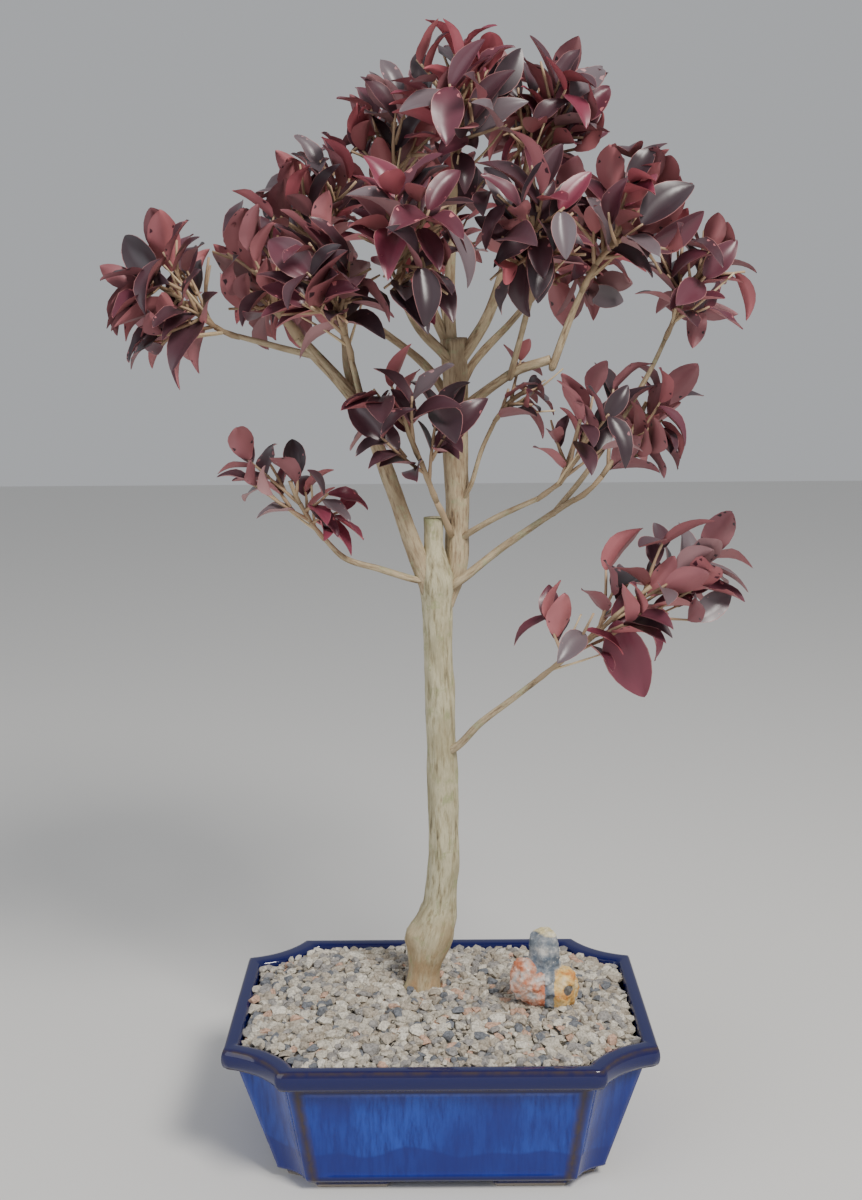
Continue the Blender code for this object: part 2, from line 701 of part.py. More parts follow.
def build_rock(group, material):
    """A craggy upright rock with a spike at the back left and a lobe at the right."""
    bm = bmesh.new()
    bmesh.ops.create_icosphere(bm, subdivisions=3, radius=1.0)
    width, depth, height = ROCK_SIZE
    for vert in bm.verts:
        p = vert.co.copy()
        up = 0.5 + 0.5 * p.z
        lean = Vector((-0.10 * up, 0.08 * up, 0.0))
        slim = 1.0 - 0.55 * up ** 1.5
        lobe = 0.22 * max(0.0, p.x) * (1.0 - up)
        crag = 0.22 * noise.noise(p * 1.7 + Vector((3.1, 0.4, 7.7)))
        q = Vector((p.x * slim + lobe, p.y * slim, p.z)) * (1.0 + crag) + lean
        vert.co = Vector((q.x * width * 0.52, q.y * depth * 0.52, (q.z + 0.72) * height * 0.56)) * MM
    cut_flat(bm, 0.0)
    rock = mesh_object("accent_rock", bm, group, material)
    rock.location = (ROCK_PLACE[0] * MM, ROCK_PLACE[1] * MM, (GROUND_Z + SEAT_GAP) * MM)
    return rock


# Wood and foliage


def build_trunk(group, material):
    trunk = tube("trunk", smooth_path(TRUNK, 13.0), 12, group)
    bm = bmesh.new()
    bmesh.ops.create_icosphere(bm, subdivisions=2, radius=BURR_RADIUS * MM,
                               matrix=Matrix.Translation(Vector(BURR_PLACE) * MM))
    burr = mesh_object("burr", bm, group)
    add_boolean(trunk, "UNION", burr)
    apply_modifiers(trunk)
    bpy.data.objects.remove(burr, do_unlink=True)
    bm = bmesh.new()
    bm.from_mesh(trunk.data)
    cut_flat(bm, (GROUND_Z + SEAT_GAP) * MM)
    bm.to_mesh(trunk.data)
    bm.free()
    trunk.data.materials.clear()
    trunk.data.materials.append(material)
    shade_round(trunk)
    return trunk


def boxes_meet(path, other):
    low, high = path[:, :3].min(axis=0) - 16.0, path[:, :3].max(axis=0) + 16.0
    return bool((other[:, :3].max(axis=0) > low).all() and (other[:, :3].min(axis=0) < high).all())


def build_boughs(group, cutters, make_bark):
    """Each bough, cut back to 0.3 mm from the limbs that it grows from or passes."""
    paths = limb_paths(13.0)
    done = ["trunk"]
    boughs = []
    for name, radius, _, _ in BOUGHS:
        sides = 8 if radius > 5 else 6
        bough = tube(name, paths[name], sides, group)
        fillers = []
        for other in done:
            if boxes_meet(paths[name], paths[other]):
                around = tube("around_" + other, paths[other], 12 if other == "trunk" else 8,
                              cutters, extra=SEAT_GAP)
                fillers.append(around)
                add_boolean(bough, "DIFFERENCE", around)
        apply_modifiers(bough)
        for filler in fillers:
            bpy.data.objects.remove(filler, do_unlink=True)
        keep_main_body(bough)
        bough.data.materials.clear()
        bough.data.materials.append(make_bark(name))
        shade_round(bough)
        boughs.append(bough)
        done.append(name)
    return boughs


def build_mass(mass, group, material):
    """One mass of foliage: stem, twigs and leaves, joined by one Boolean union."""
    pieces = new_collection("pieces")
    stem = mass["stem"]
    radii = np.linspace(max(mass["radius"], STEM_RADIUS), STEM_RADIUS, len(stem))
    body = mesh_object("stem", twig_shape(stem[0], stem[1], radii[0], radii[1]), group, scale=MM)
    for k in range(1, len(stem) - 1):
        sunk = stem[k] - (stem[k + 1] - stem[k]).normalized() * STEM_LAP
        mesh_object("stem", twig_shape(sunk, stem[k + 1], radii[k], radii[k + 1]), pieces, scale=MM)
    for twig in mass["twigs"]:
        mesh_object("twig", twig_shape(*twig, TWIG_TIP_RADIUS), pieces, scale=MM)
    for leaf in mass["leaves"]:
        mesh_object("leaf", leaf_shape(leaf), pieces, scale=MM)
    add_boolean(body, "UNION", pieces, "MANIFOLD")
    apply_modifiers(body)
    for piece in list(pieces.objects):
        bpy.data.objects.remove(piece, do_unlink=True)
    bpy.data.collections.remove(pieces)
    keep_main_body(body)
    body.name = mass["name"]
    body.data.materials.clear()
    body.data.materials.append(material)
    return body


def main():
    clear_scene()
    parts = new_collection(PART_NAME)
    cutters = new_collection("cutters")
    build_pot(parts, cutters, make_material("pot_glaze", (0.008, 0.02, 0.22), 0.12))
    build_bed(parts, make_material("gravel", (0.42, 0.38, 0.33), 0.85))
    build_rock(parts, make_material("rock", (0.48, 0.36, 0.24), 0.8))
    build_trunk(parts, make_material("trunk_bark", (0.42, 0.38, 0.25), 0.85))
    build_boughs(parts, cutters, lambda name: make_material(name + "_bark", (0.36, 0.28, 0.18), 0.85))
    paths = limb_paths(6.0)
    limbs = Limbs(paths)
    for index in range(len(MASSES)):
        mass = grow_mass(index, paths, limbs)
        build_mass(mass, parts, make_material(mass["name"] + "_leaf", (0.11, 0.02, 0.035), 0.5))


main()
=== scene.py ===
"""Looks of a crape myrtle bonsai in a glazed blue pot: bark, leaves, glaze, gravel and rock.

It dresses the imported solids, in their frame. Every length below is in millimetres, and MM
turns it into metres.
"""

import math
import random

import bmesh
import bpy
import numpy as np
from mathutils import Matrix, Vector, noise
from mathutils.bvhtree import BVHTree

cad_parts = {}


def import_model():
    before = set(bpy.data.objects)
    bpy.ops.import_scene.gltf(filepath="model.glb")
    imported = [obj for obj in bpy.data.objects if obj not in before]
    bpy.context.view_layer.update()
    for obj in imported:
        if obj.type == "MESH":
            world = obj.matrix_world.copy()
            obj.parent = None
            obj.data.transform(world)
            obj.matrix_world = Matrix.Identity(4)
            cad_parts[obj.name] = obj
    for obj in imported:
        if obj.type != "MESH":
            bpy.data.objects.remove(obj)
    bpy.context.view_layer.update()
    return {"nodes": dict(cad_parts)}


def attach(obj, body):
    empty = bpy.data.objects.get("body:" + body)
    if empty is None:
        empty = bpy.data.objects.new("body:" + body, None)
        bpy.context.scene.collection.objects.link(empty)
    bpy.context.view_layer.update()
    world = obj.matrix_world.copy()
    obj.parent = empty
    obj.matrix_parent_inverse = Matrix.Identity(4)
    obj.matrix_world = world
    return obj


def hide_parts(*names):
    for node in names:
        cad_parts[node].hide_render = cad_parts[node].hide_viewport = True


MM = 0.001
SEAT_GAP = 0.3            # between two solids that touch

# Camera, at the photograph's place
CAMERA_PLACE = (-3.8, -823.2, 486.2)
CAMERA_PITCH = math.radians(10.44)       # downwards
CAMERA_ROLL = math.radians(-0.39)
FOCAL_PIXELS = 1421.0
FRAME_PIXELS = 1200.0                    # the longer side of the frame
SENSOR = 36.0

# Lights: name, place and aim in metres, size, power, colour
LIGHTS = (
    ("key", (0.7, -1.0, 1.6), (0, 0, 0.35), 0.5, 34.0, (1.0, 0.97, 0.92)),
    ("fill", (-1.6, -1.2, 0.9), (0, 0, 0.3), 1.6, 14.0, (0.92, 0.95, 1.0)),
)

# Pot: a rectangle with hollow cut corners, on four low corner feet
POT_WIDTH = 254.0
POT_DEPTH = 181.0
POT_HEIGHT = 82.5
CORNER_CUT_X = 35.0       # of each corner at the rim
CORNER_CUT_Y = 27.0
CORNER_HOLLOW = 5.0       # how far a cut corner is drawn in
CORNER_POINTS = 13
SIDE_POINTS = 40
BASE_WIDTH = 193.0        # of the body just above the feet
BASE_DEPTH = 153.0
BASE_CUT_SHARE = 0.53     # corner cuts there, against those of the rim
NECK_CUT_SHARE = 0.92
FOOT_HEIGHT = 4.0
FOOT_GAP_X = 62.0         # between the feet, along the front
FOOT_GAP_Y = 44.0         # between the feet, along the side
LIP_HEIGHT = 12.0
LIP_OVERHANG = 8.0
LIP_WIDTH = 9.0
BODY_LOW = FOOT_HEIGHT + 5.0
LIP_LOW = POT_HEIGHT - LIP_HEIGHT
PANEL_SINK = 1.3          # of the panel in each side
PANEL_MARGIN = 7.0
PANEL_BEVEL = 2.5         # width of its sloping edge
LIP_THINNESS = {0: 0.8, 1: 0.5, 6: 0.35, 7: 0.95, 8: 0.25}   # of the glaze, row by row
BED_EDGE_Z = 79.0
GROUND_Z = 86.0

# Gravel
PEBBLE_STEP = 4.1         # between stones of the even layer
LOOSE_PEBBLES = 1100      # on that layer
PEBBLE_SIZES = (3.3, 5.7)  # half lengths
LARGE_STONES = (0.05, 1.4)  # how often one comes, and how much larger it is
STONE_CORNERS = 17
STONE_SHAPES = 24
STONE_BREADTHS = (0.6, 0.85)        # in their lengths, as are their depths
STONE_DEPTHS = (0.45, 0.72)
STONE_TILT = 0.45
STONE_ROWS = 0.87                   # their distance, in the step
STONE_WANDER = 1.0
STONE_LIFTS = (-1.2, 1.0)
LOOSE_LIFTS = (1.0, 3.2)
LOOSE_SPAN = (118, 82)              # loose stones are tried this far out to each side
PEBBLE_TONES = (          # colour, and how often it comes
    ((0.58, 0.53, 0.44), 6),
    ((0.46, 0.40, 0.32), 5),
    ((0.34, 0.32, 0.30), 4),
    ((0.72, 0.67, 0.57), 3),
    ((0.62, 0.40, 0.29), 1),
    ((0.18, 0.19, 0.21), 1.5),
)

# Rock
ROCK_PLACE = (63.0, -15.0)
ROCK_CORE = (0.0, 0.0, 18.0)        # from its place, as are the lobes' middles
ROCK_LOBES = (                      # middle and half sizes: body, spire, left lobe, right lobe
    ((-1.0, 0.0, 13.0), (18.0, 13.5, 14.5)),
    ((0.5, 1.0, 33.0), (9.5, 8.5, 18.0)),
    ((-12.0, -3.0, 19.0), (10.5, 9.5, 11.5)),
    ((12.5, -4.0, 12.5), (10.8, 11.0, 12.0)),
)
ROCK_BLEND = 9
ROCK_FLATS = 13
ROCK_FLAT_STEEP = 0.6               # flats seldom face up or down
ROCK_FLAT_DEPTHS = (0.80, 0.97)
ROCK_FLAT_SHARE = 0.8               # of what lies beyond a flat is broken off
ROCK_PIT = (14.5, -14.0, 14.5)
ROCK_PIT_RADIUS = 4.2
ROCK_PIT_DEPTH = 1.8
ROCK_CRAGS = (0.16, 0.06)           # coarse and fine, in the rock's reach
ROCK_GRAIN = (0.9, 0.5)             # coarse and fine, in millimetres
ROCK_TIP_FROM = 43.0                # the pale tip starts at this height

# Trunk: (x, y, z, radius) from just under the flat cut at the ground to the sawn top
TRUNK = (
    (-11.0, 12.0, 82.0, 11.2),
    (-9.5, 12.0, 96.0, 9.8),
    (-7.5, 12.0, 110.0, 12.4),
    (-4.5, 12.0, 122.0, 13.8),
    (-1.5, 12.0, 133.0, 12.0),
    (1.0, 12.0, 146.0, 9.7),
    (3.0, 11.0, 180.0, 9.3),
    (2.0, 10.0, 240.0, 9.0),
    (0.5, 8.0, 300.0, 8.6),
    (0.0, 7.0, 332.0, 9.4),
    (0.0, 6.0, 345.0, 10.4),
    (-1.5, 4.5, 357.0, 8.0),
    (-2.0, 4.0, 366.0, 5.9),
    (-2.0, 3.0, 383.0, 5.5),
)
BURR_PLACE = (-15.0, 9.0, 120.0)
BURR_RADIUS = 7.5
FOOT_FLARE = 0.10         # of the trunk's radius, at the ground
FOOT_FLARE_REACH = 7.0
TRUNK_STEP = 1.6          # between rings of the finely shaped trunk
TRUNK_SIDES = 56
TRUNK_ROUGHNESS = 0.9     # height of its bark
ROOT_REACH = 1.6          # of a bough's root, in its own radius
ROOT_SHARES = (1.0, 0.93, 0.8, 0.6, 0.35, 0.15)    # of its reach, from its end up
THICK_BOUGH = 5.0         # boughs with a wider foot have more sides and rougher bark
BOUGH_SIDES = (40, 20)
THICK_ROUGHNESS = 0.75
THIN_ROUGHNESS = 0.16     # in the bough's radius
BOUGH_COLLAR = 0.35       # how much a bough widens at its foot

# Boughs: name, radius at the foot, radius at the tip, and the points that each runs through
BOUGHS = (
    ("leader", 7.0, 7.6,
     ((4, 10, 333), (11, 12, 354), (12, 14, 390), (11, 12, 433), (11, 10, 462), (10, 8, 486))),
    ("left_bough", 5.6, 3.0,
     ((-5, 5, 341), (-15, 0, 370), (-35, -12, 429), (-48, -18, 455), (-76, -25, 487))),
    ("left_outer_bough", 2.0, 1.5,
     ((-68, -24, 477), (-87, -26, 482), (-110, -23, 488))),
    ("left_side_bough", 2.3, 1.8,
     ((-44, -18, 447), (-50, -13, 469), (-52, -6, 487), (-56, 2, 512))),
    ("left_front_bough", 2.2, 1.6,
     ((-40, -14, 440), (-42, -32, 456), (-46, -45, 476))),
    ("left_low_bough", 2.4, 1.4,
     ((-2, 4, 345), (-14, 0, 347), (-33, -6, 354), (-53, -10, 361), (-66, -12, 374))),
    ("front_bough", 3.2, 2.0,
     ((6, 4, 476), (-8, -14, 490), (-17, -32, 505))),
    ("top_left_bough", 3.2, 2.0,
     ((8, 8, 480), (-3, 10, 505), (-13, 12, 535), (-20, 12, 560))),
    ("top_bough", 3.6, 2.2,
     ((9, 8, 482), (8, 6, 510), (9, 0, 540), (10, -4, 562))),
    ("top_right_bough", 3.8, 2.2,
     ((11, 8, 470), (22, 8, 485), (32, 11, 503), (41, 13, 532), (47, 13, 560))),
    ("right_bough", 3.0, 2.6,
     ((10, 9, 441), (18, 4, 448), (32, -4, 459), (46, -10, 468), (64, -16, 474))),
    ("right_bough_upright", 2.4, 1.6,
     ((65.5, -16.5, 471), (74, -20, 495), (81, -23, 512))),
    ("right_front_bough", 2.0, 1.5,
     ((42, -10, 465), (47, -22, 487), (51, -32, 505))),
    ("right_thin_bough", 2.0, 1.4,
     ((12, 12, 368), (21, 4, 375), (37, -4, 385), (58, -16, 396))),
    ("right_low_bough", 2.8, 1.6,
     ((2, 7, 338), (15, 2, 347), (37, -2, 365), (60, -3, 381), (80, -4, 394))),
    ("right_outer_bough", 1.7, 1.3,
     ((68, -3, 386), (88, 3, 410), (108, 6, 440), (124, 6, 468), (132, 5, 486))),
    ("lowest_bough", 2.6, 1.6,
     ((2, 9, 238), (12, 2, 245), (25, -6, 261), (44, -14, 278), (57, -20, 290))),
    ("right_twig", 1.5, 1.2,
     ((13, 12, 390), (20, 5, 402), (26, 1, 422), (34, -3, 440))),
    ("back_left_bough", 3.0, 1.8,
     ((10, 10, 446), (-6, 28, 470), (-34, 44, 492), (-52, 52, 504))),
    ("back_bough", 3.2, 2.0,
     ((10, 10, 472), (7, 30, 494), (3, 48, 516))),
    ("back_right_bough", 3.0, 1.8,
     ((12, 10, 455), (24, 28, 474), (44, 44, 494), (55, 50, 506))),
)

# Foliage: name, bough that carries it, middle of its space, half sizes of the space, how much
# the space climbs towards +X, shoots that leave its stem, length of a leaf, seed
MASSES = (
    ("foliage_left_tip", "left_outer_bough", (-144, -20, 512), (41, 42, 52), 0.0, 8, 38, 11),
    ("foliage_left", "left_bough", (-98, -12, 524), (40, 42, 46), 0.0, 7, 35, 12),
    ("foliage_upper_left", "left_side_bough", (-66, 10, 564), (41, 44, 42), 0.3, 7, 34, 13),
    ("foliage_left_front", "left_front_bough", (-56, -64, 516), (40, 38, 48), 0.0, 7, 38, 14),
    ("foliage_left_low", "left_low_bough", (-82, -15, 404), (52, 30, 31), -0.55, 6, 31, 15),
    ("foliage_front", "front_bough", (-12, -74, 536), (40, 38, 52), 0.0, 8, 42, 16),
    ("foliage_top_left", "top_left_bough", (-22, 14, 602), (41, 44, 42), 0.3, 7, 34, 17),
    ("foliage_top", "top_bough", (14, -24, 610), (38, 40, 46), 0.0, 7, 35, 18),
    ("foliage_top_right", "top_right_bough", (60, 8, 608), (42, 44, 47), 0.0, 7, 35, 19),
    ("foliage_right_front", "right_front_bough", (50, -60, 544), (38, 38, 48), 0.0, 7, 37, 20),
    ("foliage_upper_right", "right_bough_upright", (106, -24, 550), (46, 44, 46), 0.0, 7, 36, 21),
    ("foliage_right_tip", "right_outer_bough", (146, 4, 516), (36, 36, 44), 0.0, 7, 35, 22),
    ("foliage_right", "right_low_bough", (118, 6, 444), (43, 38, 44), 0.0, 7, 34, 23),
    ("foliage_right_inner", "right_thin_bough", (84, -34, 438), (30, 32, 40), 0.0, 5, 32, 24),
    ("foliage_lowest", "lowest_bough", (115, -30, 342), (74, 36, 40), 0.42, 8, 36, 25),
    ("foliage_trunk_front", "leader", (-16, -38, 440), (46, 32, 44), 0.0, 7, 32, 26),
    ("foliage_right_sprig", "right_twig", (50, -8, 456), (28, 24, 32), 0.0, 5, 25, 27),
    ("foliage_back_left", "back_left_bough", (-84, 68, 530), (44, 42, 48), 0.0, 6, 38, 28),
    ("foliage_back", "back_bough", (-4, 76, 562), (44, 40, 52), 0.0, 7, 38, 29),
    ("foliage_back_right", "back_right_bough", (82, 66, 538), (44, 42, 48), 0.0, 6, 38, 30),
)
SPRIG_MASS = "foliage_trunk_front"
SPRIG_FOOT = 0.28         # share of the leader's length where the foliage in front of it leaves

# Finer foliage than the solids have, by the same rule
LEAF_SHARE = 0.92                   # of the solids' leaf length
FINE_STEP = 8.5                     # between pairs of leaves
SPARSE_STEPS = {                    # between pairs of leaves, in the open sprays below the crown
    "foliage_left_low": 13.0,
    "foliage_trunk_front": 15.0,
    "foliage_right_sprig": 14.0,
    "foliage_right_inner": 13.0,
    "foliage_lowest": 13.0,
    "foliage_right": 10.5,
}
FINE_TRIES = 9
FINE_TWIG_FROM = 22.0               # twigs longer than this carry a finer one
FINE_TWIG_AT = (0.4, 0.6)
FINE_TWIG_LEAN = (34, 52)
FINE_TWIG_LENGTHS = (18, 28)
LEAF_LEAN = (24, 66)                # degrees from the twig
LEAF_RISE = (-0.05, 0.4)
LEAF_LENGTHS = (0.72, 1.18)         # of its mass's leaf
FIRST_LEAF = 1.0                    # from the twig's tip
ODD_LEAVES = 0.3                    # share of a spray's leaves with a colour of their own
TWIG_SIDES = 6
LEAF_ROWS = (0.0, 0.05, 0.14, 0.27, 0.41, 0.56, 0.70, 0.82, 0.91, 0.97, 1.0)
LEAF_COLUMNS = (-1.0, -0.96, -0.5, 0.0, 0.5, 0.96, 1.0)
LEAF_THICKNESS = 0.4
LEAF_EDGE_THICKNESS = 0.04
LEAF_CURL = (0.0, 0.50)             # of its tip, downwards
LEAF_CUP = (0.35, 0.95)             # of its halves, upwards from the midrib
LEAF_WAVE = 0.035
LEAF_BEND = 0.06                    # sideways
BLADE_WIDTH = 0.49                  # half widths, of the leaf's width
FOOT_TINT_REACH = 55.0              # of the warm bark above the ground
DEAD_TWIGS = 3                      # bare straws from each mass's stem
STRAW_LEAN = (15, 45)
STRAW_LENGTHS = (22, 48)
STRAW_RADIUS = 0.5
STEM_TIP_RADIUS = 1.2
SHOOT_RADII = (1.05, 0.6)           # at the foot and the tip of a finely shaped shoot
STRAW_RADII = (0.8, 0.45)
STEM_SINK = 2.0                     # of a stem's foot in its bough
FILL_SHOOTS = 7                     # more of them in each mass of the crown
FILL_INSET = 0.5                    # of a leaf, from their tips to the mass's surface
FILL_ABOVE = 500.0                  # the crown's masses have their middle above this

# Leaf colours, dealt out by spray: the upper side, the underside, and how often the pair comes
LEAF_TONES = (
    ((0.070, 0.030, 0.040), (0.42, 0.150, 0.165), 5),
    ((0.042, 0.025, 0.032), (0.30, 0.115, 0.130), 4),
    ((0.110, 0.030, 0.046), (0.50, 0.165, 0.180), 4),
    ((0.190, 0.036, 0.062), (0.58, 0.150, 0.180), 2),
    ((0.130, 0.100, 0.112), (0.43, 0.230, 0.240), 2),
)
LEAF_EDGE = (0.34, 0.15, 0.15)

# The one long hanging leaf: mass, root, tip, way its upper side faces, number of its colour
HANGING_LEAF = ("foliage_lowest", (101, -30, 328), (116, -32, 281), (-0.3, -1.0, 0.2), 3)

# How the foliage grows
SPREAD = math.radians(118)          # widest angle between a shoot and the stem's aim
GOLDEN_TURN = math.radians(137.5)
STEM_OVERSHOOT = 0.10
SPACE_SLACK = 1.05                  # of its half sizes, as far as a mass may reach
CELL_MARGIN = 0.7                   # kept by each mass to its neighbours' spaces
LIMB_MARGIN = 2.6                   # kept by leaves to limbs
TWIG_MARGIN = 2.0
SHORTEST_TWIG = 12.0
SIDE_SHOOT_FROM = 38.0              # shoots longer than this carry a side shoot
SIDE_SHOOT_AT = (0.30, 0.45)        # along the shoot that carries it
SIDE_SHOOT_LEAN = (32, 48)          # degrees off it
SIDE_SHOOT_LENGTHS = (0.45, 0.62)   # of its length
STEM_BEND = 0.4                     # how far along its bough's heading a stem starts to turn
LOW_SHOOTS = 0.72                   # the widest shoot leaves this far down the stem
SHOOT_WOBBLE = 0.3
SHOOT_INSETS = (0.7, 1.3)
TWIG_SHARES = (1.0, 0.9, 0.8, 0.7, 0.6, 0.5)    # tried in turn until a twig fits
LEAFY_SHARE = 0.8                   # of a shoot, from its tip down
PAIR_STAGGER = 2.5                  # leaves of a pair are a little apart along the twig
TIP_REACH = 0.62                    # of a leaf's length, kept inside the space by a twig's tip
LEAF_WIDTH_SHARE = 0.5
LEAF_FOLD = 0.30
STEM_RADIUS = 1.9
TWIG_RADIUS = 1.0
TWIG_TIP_RADIUS = 1.0
SIDE_SHOOT_RADIUS = 0.6             # at its foot, which stays inside the shoot that carries it
HANGING_SHARE = 0.12


# Growth: points and directions only


def smooth_path(points, step):
    """Even points along a smooth curve through the given ones; any length of tuple."""
    knots = [np.array(p, float) for p in points]
    knots = [2 * knots[0] - knots[1]] + knots + [2 * knots[-1] - knots[-2]]
    fine = []
    for a, b, c, d in zip(knots, knots[1:], knots[2:], knots[3:]):
        for t in np.linspace(0.0, 1.0, 12, endpoint=False):
            fine.append(0.5 * (2 * b + (c - a) * t + (2 * a - 5 * b + 4 * c - d) * t ** 2
                               + (3 * b - a - 3 * c + d) * t ** 3))
    fine.append(knots[-2])
    fine = np.array(fine)
    run = np.r_[0.0, np.cumsum(np.linalg.norm(np.diff(fine[:, :3], axis=0), axis=1))]
    count = max(2, int(round(run[-1] / step)) + 1)
    even = np.linspace(0.0, run[-1], count)
    return np.stack([np.interp(even, run, column) for column in fine.T], axis=1)


def bough_path(radius, tip_radius, points, step):
    """Path of a bough as rows of x, y, z, radius, with an even taper."""
    path = smooth_path(points, step)
    taper = np.linspace(radius, tip_radius, len(path))
    return np.c_[path, taper]


def limb_paths(step):
    """Every limb's path by name, the trunk first."""
    paths = {"trunk": smooth_path(TRUNK, step)}
    for name, radius, tip_radius, points in BOUGHS:
        paths[name] = bough_path(radius, tip_radius, points, step)
    return paths


class Limbs:
    """The limbs as capsules, for measuring how clear of them a point is."""

    def __init__(self, paths):
        rows = list(paths.values())
        self.start = np.concatenate([r[:-1, :3] for r in rows])
        self.run = np.concatenate([r[1:, :3] - r[:-1, :3] for r in rows])
        self.radius = np.concatenate([np.maximum(r[:-1, 3], r[1:, 3]) for r in rows])

    def clearance(self, points):
        """Least distance from any of the points to a limb's surface."""
        run = self.run[None]
        offset = points[:, None, :] - self.start[None]
        share = np.clip((offset * run).sum(axis=2) / (self.run ** 2).sum(axis=1), 0.0, 1.0)
        return (np.linalg.norm(offset - share[..., None] * run, axis=2) - self.radius).min()


class Cell:
    """The space of one mass: its own ellipsoid, cut by planes towards its neighbours."""

    def __init__(self, index):
        _, _, centre, half, self.rise, *_ = MASSES[index]
        self.centre = np.array(centre, float)
        self.half = np.array(half, float)
        self.at = []
        self.normal = []
        for other, mass in enumerate(MASSES):
            if other == index:
                continue
            run = np.array(mass[2], float) - self.centre
            out = run / np.linalg.norm(run)
            mine = 1.0 / np.linalg.norm(out / self.half)
            theirs = 1.0 / np.linalg.norm(out / np.array(mass[3], float))
            self.at.append(self.centre + run * mine / (mine + theirs))
            self.normal.append(out)
        self.at = np.array(self.at)
        self.normal = np.array(self.normal)

    def holds(self, points):
        """True where every point is in the ellipsoid and keeps its margin to the planes."""
        offset = points - self.centre
        offset[:, 2] -= self.rise * offset[:, 0]
        if np.linalg.norm(offset / self.half, axis=1).max() > SPACE_SLACK:
            return False
        height = ((points[:, None, :] - self.at[None]) * self.normal[None]).sum(axis=2)
        return height.max() < -CELL_MARGIN

    def surface(self, out, inset):
        """The point of the ellipsoid, drawn in by a length, in a direction."""
        size = np.maximum(self.half - inset, 6.0)
        point = np.array(tuple(out)) * size
        point[2] += self.rise * point[0]
        return Vector(self.centre + point)


def leaf_points(leaf, rows, columns):
    """Points over a leaf's blade, from a row of lengthwise and of crosswise shares."""
    points = []
    for along in rows:
        drop = -leaf["droop"] * leaf["length"] * along * along
        half = leaf["width"] * math.sin(math.pi * min(1.0, 0.04 + 0.96 * along ** 0.8)) * 0.5
        for across in columns:
            y = half * across
            lift = drop + LEAF_FOLD * abs(y)
            points.append(leaf["root"] + leaf["along"] * (along * leaf["length"])
                          + leaf["across"] * y + leaf["face"] * lift)
    return np.array([tuple(p) for p in points])


def make_leaf(root, along, face, length, rng):
    """A leaf's frame and sizes; its upper side turns towards face."""
    along = along.normalized()
    across = face.cross(along).normalized()
    return {
        "root": root,
        "along": along,
        "across": across,
        "face": along.cross(across).normalized(),
        "length": length,
        "width": length * LEAF_WIDTH_SHARE * rng.uniform(0.9, 1.12),
        "droop": rng.uniform(0.02, 0.16),
    }


def leaf_shape(leaf):
    """An eight-faced leaf: the hull of its root, its tip and two points a side."""
    root = leaf_points(leaf, (0.0,), (0.0,))
    sides = leaf_points(leaf, (0.34, 0.70), (-1.0, 1.0))
    tip = leaf_points(leaf, (1.0,), (0.0,))
    bm = bmesh.new()
    for point in np.concatenate([root, sides, tip]):
        bm.verts.new(point)
    bmesh.ops.convex_hull(bm, input=bm.verts)
    return bm


def twig_shape(start, end, radius, tip_radius):
    """A three-sided twig between two points."""
    run = end - start
    matrix = Matrix.Translation((start + end) * 0.5) @ run.to_track_quat("Z", "Y").to_matrix().to_4x4()
    bm = bmesh.new()
    bmesh.ops.create_cone(bm, cap_ends=True, segments=3, radius1=radius, radius2=tip_radius,
                          depth=run.length, matrix=matrix)
    return bm


def surface_tree(bm):
    """The surface of a bmesh, for finding what crosses it; the bmesh is used up."""
    bmesh.ops.triangulate(bm, faces=bm.faces)
    tree = BVHTree.FromBMesh(bm)
    bm.free()
    return tree


def leaf_fits(leaf, own, cell, limbs, twig_trees, leaf_trees):
    """Whether a leaf stays in its cell, off the limbs, and clear of other twigs and leaves."""
    blade = leaf_points(leaf, (0.25, 0.4, 0.55, 0.7, 0.85, 1.0), (-1.0, -0.5, 0.0, 0.5, 1.0))
    if not cell.holds(blade) or limbs.clearance(blade) < LIMB_MARGIN:
        return False
    tree = surface_tree(leaf_shape(leaf))
    others = leaf_trees + [twig for k, twig in enumerate(twig_trees) if k != own]
    if any(tree.overlap(other) for other in others):
        return False
    leaf_trees.append(tree)
    return True


def twig_fits(start, end, radius, cell, limbs):
    """Whether a straight twig stays in its cell and off the limbs."""
    line = np.array([tuple(start.lerp(end, t)) for t in np.linspace(0.0, 1.0, 9)])
    return cell.holds(line[1:]) and limbs.clearance(line[2:]) > radius + TWIG_MARGIN


def grow_twig(start, end, radius, cell, limbs):
    """The longest part of a twig that fits, or None."""
    for share in TWIG_SHARES:
        tip = start.lerp(end, share)
        if (tip - start).length < SHORTEST_TWIG:
            return None
        if twig_fits(start, tip, radius, cell, limbs):
            return start, tip, radius
    return None


def any_way(rng, steep=1.0):
    """A random direction, less often up or down where steep is under 1."""
    return Vector((rng.gauss(0, 1), rng.gauss(0, 1), rng.gauss(0, steep))).normalized()


def leaning(run, aim, degrees, rng):
    """An aim turned off the run that it follows by so many degrees, to a random side."""
    axis = Matrix.Rotation(rng.uniform(0, 2 * math.pi), 3, run) @ run.orthogonal()
    return Matrix.Rotation(math.radians(rng.uniform(*degrees)), 3, axis) @ aim


def twig_sides(run):
    """Outward directions of a twig's three faces."""
    turn = run.to_track_quat("Z", "Y")
    angles = [k * 2 * math.pi / 3 for k in range(3)]
    return [turn @ Vector((math.sin(a), -math.cos(a), 0.0)) for a in angles]


